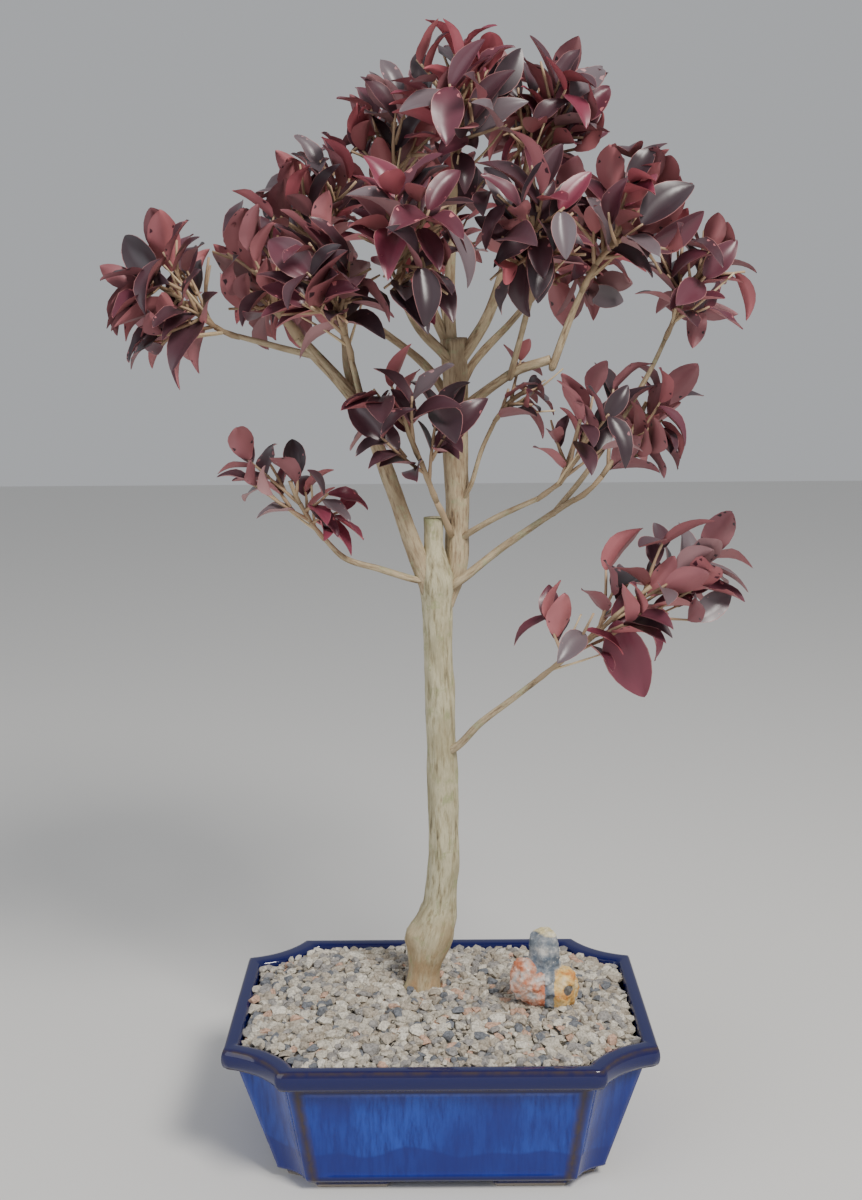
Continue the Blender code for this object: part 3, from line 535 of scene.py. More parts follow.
def leaves_of(own, size, step, cell, limbs, twigs, twig_trees, leaf_trees, rng):
    """Pairs of leaves down a twig from its tip, each with the number of its spray's colour."""
    start, tip, _ = twigs[own]
    run = tip - start
    aim = run.normalized()
    up = Vector((0, 0, 1))
    sides = twig_sides(run)
    first = rng.randrange(3)
    shares = [tone[2] for tone in LEAF_TONES]
    spray = rng.choices(range(len(LEAF_TONES)), shares)[0]
    nodes = max(2, int(run.length * LEAFY_SHARE / step) + 1)
    leaves = []
    for node in range(nodes):
        for which in range(2 if node else 3):
            out = sides[(first + node + which) % 3]
            root = tip - aim * (FIRST_LEAF + node * step + PAIR_STAGGER * which)
            for _ in range(FINE_TRIES):
                lean = math.radians(rng.uniform(*LEAF_LEAN))
                along = aim * math.cos(lean) + out * math.sin(lean) + up * rng.uniform(*LEAF_RISE)
                if rng.random() < HANGING_SHARE:
                    along = along - up
                face = aim * 0.8 + up * 0.45 + sides[rng.randrange(3)] * 0.3
                length = size * LEAF_SHARE * rng.uniform(*LEAF_LENGTHS)
                leaf = make_leaf(root, along, face, length, rng)
                if leaf_fits(leaf, own, cell, limbs, twig_trees, leaf_trees):
                    tone = spray
                    if rng.random() < ODD_LEAVES:
                        tone = rng.choices(range(len(LEAF_TONES)), shares)[0]
                    leaves.append((leaf, tone))
                    break
    return leaves


def stem_foot(mass, paths):
    """Where a mass's stem starts, which way it heads and how thick it is."""
    carrier = paths[mass[1]]
    if mass[0] == SPRIG_MASS:
        row = carrier[int(SPRIG_FOOT * len(carrier))]
        heading = (Vector(mass[2]) - Vector(row[:3])).normalized()
        level = Vector((heading.x, heading.y, 0)).normalized()
        clear = row[3] + SEAT_GAP + STEM_RADIUS * abs(heading.z)
        return Vector(row[:3]) + level * clear, heading, STEM_RADIUS
    tip = Vector(carrier[-1, :3])
    heading = (tip - Vector(carrier[-2, :3])).normalized()
    return tip + heading * SEAT_GAP, heading, carrier[-1, 3]


def finer_twigs(twigs, cell, limbs, rng):
    """A short side twig on every longer twig."""
    finer = []
    for start, tip, _ in twigs:
        run = tip - start
        if run.length < FINE_TWIG_FROM:
            continue
        side_start = start + run * rng.uniform(*FINE_TWIG_AT)
        side = leaning(run, run.normalized(), FINE_TWIG_LEAN, rng)
        end = side_start + side * rng.uniform(*FINE_TWIG_LENGTHS)
        twig = grow_twig(side_start, end, SIDE_SHOOT_RADIUS, cell, limbs)
        if twig:
            finer.append(twig)
    return finer


def fill_shoots(stem, leaf_size, cell, limbs, rng):
    """Shoots from the stem's outer half to all sides of the mass."""
    shoots = []
    for _ in range(FILL_SHOOTS):
        end = cell.surface(any_way(rng), leaf_size * FILL_INSET)
        start = stem[1].lerp(stem[3], rng.uniform(0.1, 0.9))
        twig = grow_twig(start, end, TWIG_RADIUS, cell, limbs)
        if twig:
            shoots.append(twig)
    return shoots


def hanging_leaf(rng):
    """The one long leaf that hangs from the lowest bough, its upper side to the front."""
    _, root, tip, face, _ = HANGING_LEAF
    run = Vector(tip) - Vector(root)
    return make_leaf(Vector(root), run, Vector(face), run.length, rng)


def straws_of(stem, cell, limbs, rng):
    """Bare dead twigs that leave the stem low down."""
    straws = []
    for _ in range(DEAD_TWIGS):
        start = stem[0].lerp(stem[1], rng.uniform(0.3, 1.0))
        aim = (stem[-1] - stem[0]).normalized()
        end = start + leaning(aim, aim, STRAW_LEAN, rng) * rng.uniform(*STRAW_LENGTHS)
        straw = grow_twig(start, end, STRAW_RADIUS, cell, limbs)
        if straw:
            straws.append(straw[:2])
    return straws


def grow_mass(index, paths, limbs):
    """Stem points, twigs and leaves of one mass, by its seed."""
    name, _, centre, _, _, shoots, leaf_size, seed = MASSES[index]
    rng = random.Random(seed)
    cell = Cell(index)
    centre = Vector(centre)
    foot, heading, radius = stem_foot(MASSES[index], paths)
    far = centre + (centre - foot) * STEM_OVERSHOOT
    bend = foot + heading * (far - foot).length * STEM_BEND
    stem = [foot.lerp(bend, t).lerp(bend.lerp(far, t), t) for t in (0.0, 1 / 3, 2 / 3, 1.0)]
    aim = (far - foot).normalized()
    across = aim.orthogonal().normalized()
    other = aim.cross(across)
    turn = rng.uniform(0.0, 2 * math.pi)
    twigs = []
    for shoot in range(shoots):
        spread = SPREAD * math.sqrt((shoot + 0.5) / shoots)
        angle = turn + shoot * GOLDEN_TURN + rng.uniform(-SHOOT_WOBBLE, SHOOT_WOBBLE)
        out = aim * math.cos(spread)
        out = out + (across * math.cos(angle) + other * math.sin(angle)) * math.sin(spread)
        end = cell.surface(out, leaf_size * TIP_REACH * rng.uniform(*SHOOT_INSETS))
        place = (1.0 - LOW_SHOOTS * spread / SPREAD) * 2.99
        segment = int(place)
        start = stem[segment].lerp(stem[segment + 1], place - segment)
        twig = grow_twig(start, end, TWIG_RADIUS, cell, limbs)
        if twig is None:
            continue
        twigs.append(twig)
        run = twig[1] - twig[0]
        if run.length > SIDE_SHOOT_FROM:
            side_start = twig[0] + run * rng.uniform(*SIDE_SHOOT_AT)
            side = leaning(run, run, SIDE_SHOOT_LEAN, rng)
            side_end = side_start + side * rng.uniform(*SIDE_SHOOT_LENGTHS) + Vector((0, 0, 4))
            side_twig = grow_twig(side_start, side_end, SIDE_SHOOT_RADIUS, cell, limbs)
            if side_twig:
                twigs.append(side_twig)
    if centre.z > FILL_ABOVE:
        twigs += fill_shoots(stem, leaf_size, cell, limbs, rng)
    step = SPARSE_STEPS.get(name, FINE_STEP)
    if step == FINE_STEP:
        twigs += finer_twigs(twigs, cell, limbs, rng)
    straws = straws_of(stem, cell, limbs, rng)
    stem_lengths = [(a, b, radius * 0.8) for a, b in zip(stem, stem[1:])]
    all_twigs = twigs + stem_lengths
    twig_trees = [surface_tree(twig_shape(*twig, TWIG_TIP_RADIUS)) for twig in all_twigs]
    leaf_trees = []
    leaves = []
    for own in range(len(twigs)):
        leaves += leaves_of(own, leaf_size, step, cell, limbs, twigs, twig_trees, leaf_trees, rng)
    if name == HANGING_LEAF[0]:
        leaves.append((hanging_leaf(rng), HANGING_LEAF[4]))
    return {"name": name, "stem": stem, "radius": radius, "twigs": twigs, "leaves": leaves,
            "straws": straws}


# Blender helpers


def new_object(name, data):
    item = bpy.data.objects.new(name, data)
    bpy.context.scene.collection.objects.link(item)
    return item


def finish_piece(item, slot, *nodes):
    """Let a piece ride on the plant, and stand for the given nodes."""
    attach(item, "root")
    if nodes:
        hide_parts(*nodes)


def mesh_from(name, points, faces, tones, materials, smooth=True):
    """A mesh from points in millimetres, faces, and the number of each face's material."""
    mesh = bpy.data.meshes.new(name)
    mesh.from_pydata([tuple(p) for p in np.asarray(points) * MM], [], faces)
    for material in materials:
        mesh.materials.append(material)
    mesh.polygons.foreach_set("material_index", tones)
    mesh.polygons.foreach_set("use_smooth", [smooth] * len(faces))
    mesh.update()
    return mesh


def add_shares(mesh, shares):
    """Named attributes with one value a point."""
    for name, values in shares.items():
        mesh.attributes.new(name, "FLOAT", "POINT").data.foreach_set("value", values)


def grid_faces(rows, columns, first=0, closed=False):
    """Quads of a grid whose points run row by row; closed joins its last column to its first."""
    faces = []
    for row in range(rows - 1):
        for column in range(columns if closed else columns - 1):
            after = (column + 1) % columns
            low = first + row * columns
            faces.append((low + column, low + after, low + columns + after, low + columns + column))
    return faces


# Materials


class Shader:
    """A node material, built up by short calls."""

    def __init__(self, name):
        self.material = bpy.data.materials.new(name)
        self.material.use_nodes = True
        self.tree = self.material.node_tree
        self.main = self.tree.nodes["Principled BSDF"]

    def set(self, **values):
        for name, value in values.items():
            socket = self.main.inputs[name.replace("_", " ")]
            socket.default_value = (*value, 1.0) if isinstance(value, tuple) else value

    def node(self, kind, **settings):
        node = self.tree.nodes.new("ShaderNode" + kind)
        for name, value in settings.items():
            setattr(node, name, value)
        return node

    def link(self, source, target):
        self.tree.links.new(source, target)

    def colour(self, source):
        self.link(source, self.main.inputs["Base Color"])

    def share(self, name):
        """One value a point, from a named attribute."""
        return self.node("Attribute", attribute_name=name).outputs["Fac"]

    def height(self, where):
        """The third of three coordinates."""
        node = self.node("SeparateXYZ")
        self.link(where, node.inputs["Vector"])
        return node.outputs["Z"]

    def place(self, scale=(1, 1, 1), attribute=None):
        """Texture coordinates of the object, or of a named attribute, times a scale."""
        if attribute:
            source = self.node("Attribute", attribute_name=attribute).outputs["Vector"]
        else:
            source = self.node("TexCoord").outputs["Object"]
        mapping = self.node("Mapping")
        mapping.inputs["Scale"].default_value = scale
        self.link(source, mapping.inputs["Vector"])
        return mapping.outputs["Vector"]

    def noise(self, where, scale, detail=4.0, rough=0.55):
        node = self.node("TexNoise")
        node.inputs["Scale"].default_value = scale
        node.inputs["Detail"].default_value = detail
        node.inputs["Roughness"].default_value = rough
        self.link(where, node.inputs["Vector"])
        return node.outputs["Fac"]

    def ramp(self, factor, *stops):
        """Colours or greys at places from 0 to 1."""
        node = self.node("ValToRGB")
        elements = node.color_ramp.elements
        while len(elements) < len(stops):
            elements.new(0.5)
        for element, (place, value) in zip(elements, stops):
            element.position = place
            colour = value if isinstance(value, tuple) else (value, value, value)
            element.color = (*colour, 1.0)
        self.link(factor, node.inputs["Fac"])
        return node.outputs["Color"]

    def mix(self, factor, first, second, mode="MIX"):
        node = self.node("Mix", data_type="RGBA", blend_type=mode)
        for socket, value in ((0, factor), (6, first), (7, second)):
            if isinstance(value, (int, float)):
                node.inputs[socket].default_value = value
            elif isinstance(value, tuple):
                node.inputs[socket].default_value = (*value, 1.0)
            else:
                self.link(value, node.inputs[socket])
        return node.outputs[2]

    def bump(self, height, strength, distance):
        node = self.node("Bump")
        node.inputs["Strength"].default_value = strength
        node.inputs["Distance"].default_value = distance
        self.link(height, node.inputs["Height"])
        self.link(node.outputs["Normal"], self.main.inputs["Normal"])


def bark_material(name, pale, mid, dark, moss, foot):
    """Fissured bark: pale plates, dark grooves along the limb, lichen, and a warmer foot."""
    shader = Shader(name)
    along = shader.place((1, 1, 0.16), "grain")
    round_about = shader.place((1, 1, 0.6), "grain")
    furrow = shader.noise(along, 420.0, 6.0, 0.65)
    broad = shader.noise(round_about, 70.0, 3.0)
    fine = shader.noise(along, 1500.0, 3.0)
    colour = shader.ramp(furrow, (0.29, dark), (0.40, mid), (0.52, pale))
    colour = shader.mix(shader.ramp(broad, (0.45, 0.0), (0.62, 0.6)), colour, mid)
    where = shader.place()
    low = shader.node("MapRange")
    low.inputs["From Min"].default_value = (GROUND_Z + FOOT_TINT_REACH) * MM
    low.inputs["From Max"].default_value = (GROUND_Z + 10.0) * MM
    shader.link(shader.height(where), low.inputs["Value"])
    warm = shader.ramp(broad, (0.35, 0.25), (0.60, 0.9))
    colour = shader.mix(shader.mix(1.0, warm, low.outputs["Result"], "MULTIPLY"), colour, foot)
    lichen = shader.noise(where, 95.0, 5.0, 0.7)
    colour = shader.mix(shader.ramp(lichen, (0.55, 0.0), (0.65, 0.75)), colour, moss)
    colour = shader.mix(0.3, colour, shader.ramp(fine, (0.3, 0.3), (0.7, 1.0)), "MULTIPLY")
    shader.colour(colour)
    shader.set(Roughness=0.86)
    shader.bump(furrow, 0.8, 0.0014)
    return shader.material


def glaze_material():
    """Cobalt glaze: deep on the rim, streaked on the panels, broken to brown along edges; painted
    reflections darken the panels low down and turn the neck brown.
    """
    shader = Shader("glaze")
    streak = shader.noise(shader.place((1, 1, 0.13)), 330.0, 5.0, 0.6)
    cloud = shader.noise(shader.place((1, 1, 0.6)), 24.0, 3.0)
    blue = shader.ramp(streak, (0.34, (0.005, 0.020, 0.20)), (0.60, (0.014, 0.058, 0.38)))
    blue = shader.mix(shader.ramp(cloud, (0.40, 0.0), (0.62, 0.8)), blue, (0.005, 0.014, 0.18))
    panel = shader.share("panel")
    level = shader.height(shader.place((1, 1, 1 / (POT_HEIGHT * MM))))
    # Painted reflection: below a wavering line low on the panels, the blue turns darker.
    reflection_wander = shader.noise(shader.place((1, 1, 0)), 14.0, 2.0)
    wave = shader.mix(0.72, reflection_wander, level)
    blue = shader.mix(shader.ramp(wave, (0.345, 0.75), (0.36, 0.0)), blue, (0.004, 0.011, 0.17))
    body = shader.mix(panel, (0.003, 0.006, 0.075), blue)
    # Brown where the glaze breaks thin at the ribs and the lip's edges; on the neck under the lip the
    # brown is a painted reflection.
    raw_break_and_neck_reflection = shader.share("glaze_break_and_neck_reflection")
    break_noise = shader.noise(shader.place(), 180.0, 4.0)
    glaze_break_and_neck_reflection = shader.mix(1.0, raw_break_and_neck_reflection, shader.ramp(break_noise, (0.30, 0.35), (0.60, 1.0)), "MULTIPLY")
    body = shader.mix(glaze_break_and_neck_reflection, body, (0.052, 0.034, 0.030))
    clay = shader.ramp(level, (0.018, 1.0), (0.028, 0.0))
    colour = shader.mix(clay, body, (0.42, 0.36, 0.30))
    shader.colour(colour)
    shader.set(Roughness=0.10, Specular_IOR_Level=0.38, Coat_Weight=0.25, Coat_Roughness=0.04)
    return shader.material


def pebble_material(name, colour):
    shader = Shader(name)
    speck = shader.noise(shader.place(), 700.0, 3.0, 0.7)
    dark = tuple(channel * 0.55 for channel in colour)
    shader.colour(shader.ramp(speck, (0.38, dark), (0.58, colour)))
    shader.set(Roughness=0.85)
    shader.bump(speck, 0.4, 0.0005)
    return shader.material


def rock_material():
    """Grey-blue spire with a pale tip, ochre right lobe, salmon left one, quartz specks, and painted
    shade in its pit.
    """
    shader = Shader("rock")
    where = shader.place()
    patch = shader.noise(where, 120.0, 6.0, 0.6)
    fine = shader.noise(where, 420.0, 5.0, 0.7)
    stops = ((0.36, (0.10, 0.13, 0.17)), (0.52, (0.30, 0.32, 0.34)), (0.64, (0.62, 0.60, 0.56)))
    colour = shader.ramp(patch, *stops)
    tones = (
        ("salmon", ((0.40, (0.55, 0.17, 0.08)), (0.52, (0.66, 0.42, 0.32)), (0.62, (0.55, 0.53, 0.51)))),
        ("ochre", ((0.38, (0.62, 0.25, 0.06)), (0.47, (0.80, 0.50, 0.16)), (0.66, (0.86, 0.70, 0.42)))),
        ("tip", ((0.40, (0.66, 0.56, 0.30)), (0.60, (0.80, 0.74, 0.58)))),
        # The pit: painted shade, dark where the rock is sunk in.
        ("pit", ((0.40, (0.10, 0.09, 0.08)), (0.60, (0.26, 0.25, 0.23)))),
    )
    for name, stops in tones:
        share = shader.share(name)
        edge = shader.ramp(shader.mix(0.35, share, patch), (0.42, 0.0), (0.52, 1.0))
        colour = shader.mix(edge, colour, shader.ramp(patch, *stops))
    colour = shader.mix(shader.ramp(fine, (0.62, 0.0), (0.68, 0.8)), colour, (0.80, 0.77, 0.72))
    colour = shader.mix(0.5, colour, shader.ramp(fine, (0.35, 0.45), (0.55, 1.0)), "MULTIPLY")
    shader.colour(colour)
    shader.set(Roughness=0.75)
    shader.bump(fine, 0.6, 0.0012)
    return shader.material


def plain_material(name, colour, roughness):
    shader = Shader(name)
    shader.set(Base_Color=colour, Roughness=roughness)
    return shader.material


def soil_and_shade_material():
    shader = Shader("soil_and_shade")
    grit = shader.noise(shader.place(), 500.0, 4.0)
    # Soil under the stones, kept as dark as the shade between them: partly painted shade.
    shader.colour(shader.ramp(grit, (0.4, (0.03, 0.027, 0.022)), (0.6, (0.11, 0.095, 0.075))))
    shader.set(Roughness=0.95)
    return shader.material


# Wood


def frames_along(path):
    """Unit vectors across a path, carried along it without twist."""
    points = [Vector(row[:3]) for row in path]
    across = None
    result = []
    for k, point in enumerate(points):
        ahead = points[min(k + 1, len(points) - 1)]
        behind = points[max(k - 1, 0)]
        run = (ahead - behind).normalized()
        if across is None:
            across = run.orthogonal().normalized()
        across = (across - run * across.dot(run)).normalized()
        result.append((across, run.cross(across)))
    return result


def bark_relief(around, along, radius, rough, seed):
    """How far bark stands out of a limb, at an angle and a length along it."""
    ring = Vector((math.cos(around) * radius, math.sin(around) * radius, 0.0))
    shift = Vector((0.0, 0.0, seed * 31.7))
    fissure = noise.noise(ring * 0.42 + Vector((0, 0, along * 0.045)) + shift)
    strip = noise.noise(ring * 0.9 + Vector((0, 0, along * 0.10)) + shift * 2)
    swell = noise.noise(ring * 0.10 + Vector((0, 0, along * 0.05)) + shift * 3)
    return rough * (0.55 * fissure + 0.35 * strip) + 0.10 * radius * swell


def limb_mesh(path, sides, rough, seed, collar):
    """Points, faces and grain coordinates of a limb with its bark, closed at both ends."""
    points = []
    grain = []
    run = np.r_[0.0, np.cumsum(np.linalg.norm(np.diff(path[:, :3], axis=0), axis=1))]
    for row, along, (across, other) in zip(path, run, frames_along(path)):
        base = row[3] * (1.0 + collar * math.exp(-along / (1.6 * path[0, 3])))
        for k in range(sides):
            around = 2 * math.pi * k / sides
            radius = base + bark_relief(around, along, base, rough, seed)
            out = across * math.cos(around) + other * math.sin(around)
            points.append(Vector(row[:3]) + out * radius)
            grain.append((math.cos(around) * base, math.sin(around) * base, along + seed * 211.0))
    faces = grid_faces(len(path), sides, closed=True)
    for end in (0, len(path) - 1):
        ring = [end * sides + k for k in range(sides)]
        points.append(Vector(path[end, :3]))
        grain.append((0.0, 0.0, run[end] + seed * 211.0))
        for a, b in zip(ring, ring[1:] + ring[:1]):
            faces.append((len(points) - 1, b, a) if end == 0 else (len(points) - 1, a, b))
    return points, faces, grain


def add_grain(mesh, grain):
    attribute = mesh.attributes.new("grain", "FLOAT_VECTOR", "POINT")
    attribute.data.foreach_set("vector", (np.array(grain, float) * MM).ravel())


def trunk_path():
    """The trunk's path in fine steps from the ground up, flared at its foot."""
    path = smooth_path(TRUNK, TRUNK_STEP)
    path = path[path[:, 2] > GROUND_Z - 2.5]
    path[:, 3] *= 1.0 + FOOT_FLARE * np.exp(-(path[:, 2] - GROUND_Z) / FOOT_FLARE_REACH)
    return path


def build_trunk(bark):
    points, faces, grain = limb_mesh(trunk_path(), TRUNK_SIDES, TRUNK_ROUGHNESS, 1, 0.0)
    burr = Vector(BURR_PLACE)
    for point in points:
        reach = (point - burr).length / (BURR_RADIUS * 1.5)
        if reach < 1.0:
            swell = 5.0 + 2.5 * noise.noise(point * 0.35)
            point += Vector((-0.9, -0.35, 0.25)).normalized() * (1.0 - reach) ** 1.3 * swell
    mesh = mesh_from("trunk_wood", points, faces, [0] * len(faces), [bark])
    add_grain(mesh, grain)
    finish_piece(new_object("trunk_wood", mesh), "bark", "trunk")


def rooted(path):
    """A bough's path with a rounded root before it, sunk in the limb that it leaves."""
    radius = path[0, 3]
    back = (path[0, :3] - path[1, :3]) / np.linalg.norm(path[0, :3] - path[1, :3])
    rows = []
    for share in ROOT_SHARES:
        place = path[0, :3] + back * radius * ROOT_REACH * share
        rows.append((*place, radius * math.sqrt(max(0.0, 1.0 - share ** 2)) + 0.05))
    return np.concatenate([np.array(rows), path])


def build_boughs(bark):
    """All boughs as one mesh; each starts inside the limb that it leaves."""
    points, faces, grain = [], [], []
    for seed, (name, radius, tip_radius, knots) in enumerate(BOUGHS):
        path = rooted(bough_path(radius, tip_radius, knots, max(1.2, radius * 0.32)))
        sides = BOUGH_SIDES[0] if radius > THICK_BOUGH else BOUGH_SIDES[1]
        rough = THICK_ROUGHNESS if radius > THICK_BOUGH else THIN_ROUGHNESS * radius
        more, rings, lines = limb_mesh(path, sides, rough, seed + 2, BOUGH_COLLAR)
        faces += [tuple(index + len(points) for index in face) for face in rings]
        points += more
        grain += lines
    mesh = mesh_from("bough_wood", points, faces, [0] * len(faces), [bark])
    add_grain(mesh, grain)
    finish_piece(new_object("bough_wood", mesh), "bark", *[bough[0] for bough in BOUGHS])


# Foliage


def blade_points(leaf, rng):
    """Upper and lower points of a finely shaped leaf, row by row."""
    curl = rng.uniform(*LEAF_CURL)
    cup = rng.uniform(*LEAF_CUP)
    wave = rng.uniform(0.0, LEAF_WAVE)
    phase = rng.uniform(0, 6.28)
    side_bend = rng.uniform(-LEAF_BEND, LEAF_BEND)
    upper, lower = [], []
    for along in LEAF_ROWS:
        half = 0.0
        if 0 < along < 1:
            half = leaf["width"] * BLADE_WIDTH * math.sin(math.pi * along ** 0.88) ** 0.74
        drop = -leaf["droop"] * along ** 2 - curl * max(0.0, along - 0.55) ** 2 * 1.9
        for across in LEAF_COLUMNS:
            y = half * across
            lift = drop * leaf["length"] + cup * abs(y) * (1.0 - 0.25 * abs(across))
            lift += wave * leaf["length"] * math.sin(along * 11 + phase) * across
            place = leaf["root"] + leaf["along"] * (along * leaf["length"])
            place = place + leaf["across"] * (y + side_bend * leaf["length"] * along ** 2)
            upper.append(place + leaf["face"] * lift)
            body = LEAF_THICKNESS * (1.0 - abs(across)) * (1.0 if 0 < along < 1 else 0.0)
            lower.append(place + leaf["face"] * (lift - body - LEAF_EDGE_THICKNESS))
    return upper, lower


def leaf_faces(first):
    """Faces of a leaf and the part of it that each belongs to: 0 upper, 1 lower, 2 edge."""
    rows, columns = len(LEAF_ROWS), len(LEAF_COLUMNS)
    top = grid_faces(rows, columns, first)
    under = [tuple(reversed(face)) for face in grid_faces(rows, columns, first + rows * columns)]
    parts = []
    for k in range(len(top)):
        parts.append(2 if k % (columns - 1) in (0, columns - 2) else 0)
    return top + under, parts + [1] * len(under)


def twig_tube(start, end, radius, tip_radius, rng):
    """A slightly bent six-sided twig."""
    run = end - start
    bow = run.orthogonal().normalized() * run.length * rng.uniform(-0.05, 0.05)
    bow = bow + Vector((0, 0, 1)) * run.length * rng.uniform(-0.04, 0.02)
    count = max(3, int(run.length / 6.0))
    rows = []
    for k in range(count + 1):
        t = k / count
        point = start.lerp(end, t) + bow * 4 * t * (1 - t)
        swell = 1.0 + (0.22 if k % 2 else 0.0)
        rows.append((*point, (radius + (tip_radius - radius) * t) * swell))
    path = np.array(rows)
    points = []
    for row, (across, other) in zip(path, frames_along(path)):
        for k in range(TWIG_SIDES):
            a = 2 * math.pi * k / TWIG_SIDES
            points.append(Vector(row[:3]) + (across * math.cos(a) + other * math.sin(a)) * row[3])
    faces = grid_faces(len(path), TWIG_SIDES, closed=True)
    faces.append(tuple(reversed(range(TWIG_SIDES))))
    faces.append(tuple(range(len(points) - TWIG_SIDES, len(points))))
    return points, faces


def build_foliage(leaf_materials, twig_materials):
    """Leaves of each mass as one piece, and the twigs of all masses as another."""
    paths = limb_paths(6.0)
    limbs = Limbs(paths)
    twig_points, twig_faces, twig_tones = [], [], []
    count = 0
    for index in range(len(MASSES)):
        mass = grow_mass(index, paths, limbs)
        rng = random.Random(1000 + index)
        points, faces, tones = [], [], []
        for leaf, spray in mass["leaves"]:
            upper, lower = blade_points(leaf, rng)
            own, parts = leaf_faces(len(points))
            points += upper + lower
            faces += own
            tones += [3 * spray + part for part in parts]
        count += len(mass["leaves"])
        mesh = mesh_from(mass["name"] + "_leaves", points, faces, tones, leaf_materials)
        finish_piece(new_object(mass["name"] + "_leaves", mesh), "foliage", mass["name"])
        stem = mass["stem"]
        foot = stem[0] - (stem[1] - stem[0]).normalized() * STEM_SINK
        radii = np.linspace(mass["radius"] + 0.1, STEM_TIP_RADIUS, len(stem))
        tubes = [(foot, stem[1], radii[0], radii[1], 0)]
        tubes += [(stem[k], stem[k + 1], radii[k], radii[k + 1], 0) for k in range(1, len(stem) - 1)]
        tubes += [(start, end, *SHOOT_RADII, 1) for start, end, _ in mass["twigs"]]
        tubes += [(start, end, *STRAW_RADII, 2) for start, end in mass["straws"]]
        for start, end, radius, tip_radius, tone in tubes:
            more, rings = twig_tube(start, end, radius, tip_radius, rng)
            twig_faces += [tuple(corner + len(twig_points) for corner in face) for face in rings]
            twig_points += more
            twig_tones += [tone] * len(rings)
    print("leaves", count, "twig faces", len(twig_faces))
    mesh = mesh_from("twigs", twig_points, twig_faces, twig_tones, twig_materials)
    finish_piece(new_object("twigs", mesh), "bark")


# Pot


def pot_outline(half_x, half_y, cut_x, cut_y):
    """Points round the pot at one height, with which side and how far along it each lies."""
    hollow = CORNER_HOLLOW * cut_x / CORNER_CUT_X
    inward = Vector((cut_y, cut_x)).normalized()
    ring = []
    for turn in range(4):
        flip_x = 1 if turn in (0, 3) else -1
        flip_y = 1 if turn in (0, 1) else -1
        corner = []
        for k in range(CORNER_POINTS):
            t = k / (CORNER_POINTS - 1)
            pull = hollow * 4 * t * (1 - t)
            x = half_x - cut_x * t - inward.x * pull
            y = half_y - cut_y * (1 - t) - inward.y * pull
            corner.append((x * flip_x, y * flip_y, "corner", t))
        if turn in (1, 3):
            corner.reverse()
        ring += corner
        (x0, y0, *_), along_x = corner[-1], turn in (0, 2)
        x1, y1 = (-x0, y0) if along_x else (x0, -y0)
        for k in range(1, SIDE_POINTS):
            t = k / SIDE_POINTS
            ring.append((x0 + (x1 - x0) * t, y0 + (y1 - y0) * t, "side_x" if along_x else "side_y", t))
    return ring


def wall_size(z):
    """Half width, half depth and corner share of the pot's body at a height."""
    share = (z - BODY_LOW) / (LIP_LOW - BODY_LOW)
    half_x = BASE_WIDTH / 2 + (POT_WIDTH / 2 - LIP_OVERHANG - BASE_WIDTH / 2) * share
    half_y = BASE_DEPTH / 2 + (POT_DEPTH / 2 - LIP_OVERHANG - BASE_DEPTH / 2) * share
    return half_x, half_y, BASE_CUT_SHARE + (NECK_CUT_SHARE - BASE_CUT_SHARE) * share


def pot_profile():
    """Rows of height, shrink from the rim's outline or the wall's, and whether it is the rim's."""
    rows = [(0.0, 6.0, False), (FOOT_HEIGHT - 0.6, 5.0, False), (FOOT_HEIGHT + 0.6, 3.2, False),
            (FOOT_HEIGHT + 2.4, 1.2, False)]
    for z in np.arange(FOOT_HEIGHT + 4.0, LIP_LOW - 4.0, 1.25):
        rows.append((float(z), 0.0, False))
    for drop, shrink in ((3.2, 0.1), (2.2, -0.8), (1.2, -2.4), (0.4, -4.6)):
        rows.append((LIP_LOW - drop, shrink, False))
    for k in range(9):
        a = math.radians(-80 + 160 * k / 8)
        rows.append((LIP_LOW + LIP_HEIGHT / 2 + math.sin(a) * LIP_HEIGHT * 0.507,
                     (1.0 - math.cos(a)) * 2.3, True))
    rows += [(POT_HEIGHT, 3.0, True), (POT_HEIGHT, LIP_WIDTH - 3.0, True),
             (POT_HEIGHT - 0.4, LIP_WIDTH - 1.2, True), (POT_HEIGHT - 1.8, LIP_WIDTH, True),
             (BED_EDGE_Z - 6.0, LIP_WIDTH + 0.8, True)]
    return rows


def panel_depth(kind, from_end, z):
    """How far the wall is sunk at a place on one of the four sides."""
    if kind == "corner":
        return 0.0
    edge = min(from_end - PANEL_MARGIN, z - BODY_LOW, LIP_LOW - 5.5 - z)
    return PANEL_SINK * min(1.0, max(0.0, edge / PANEL_BEVEL))


def glaze_break_and_neck_reflection_at(lip_row, z, kind, from_end):
    """How brown the glaze turns, from 0 to 1: where it breaks thin on the ribs and the lip's two edges,
    and on the neck, where the brown is a painted reflection.
    """
    if lip_row >= 0:
        return LIP_THINNESS.get(lip_row, 0.0)
    # The neck under the lip: brown as a painted reflection.
    if z > LIP_LOW - 5.0:
        return 1.0
    if kind == "corner":
        return 0.0
    return max(0.0, min(1.0, (PANEL_MARGIN + 0.5 - from_end) / 1.5))


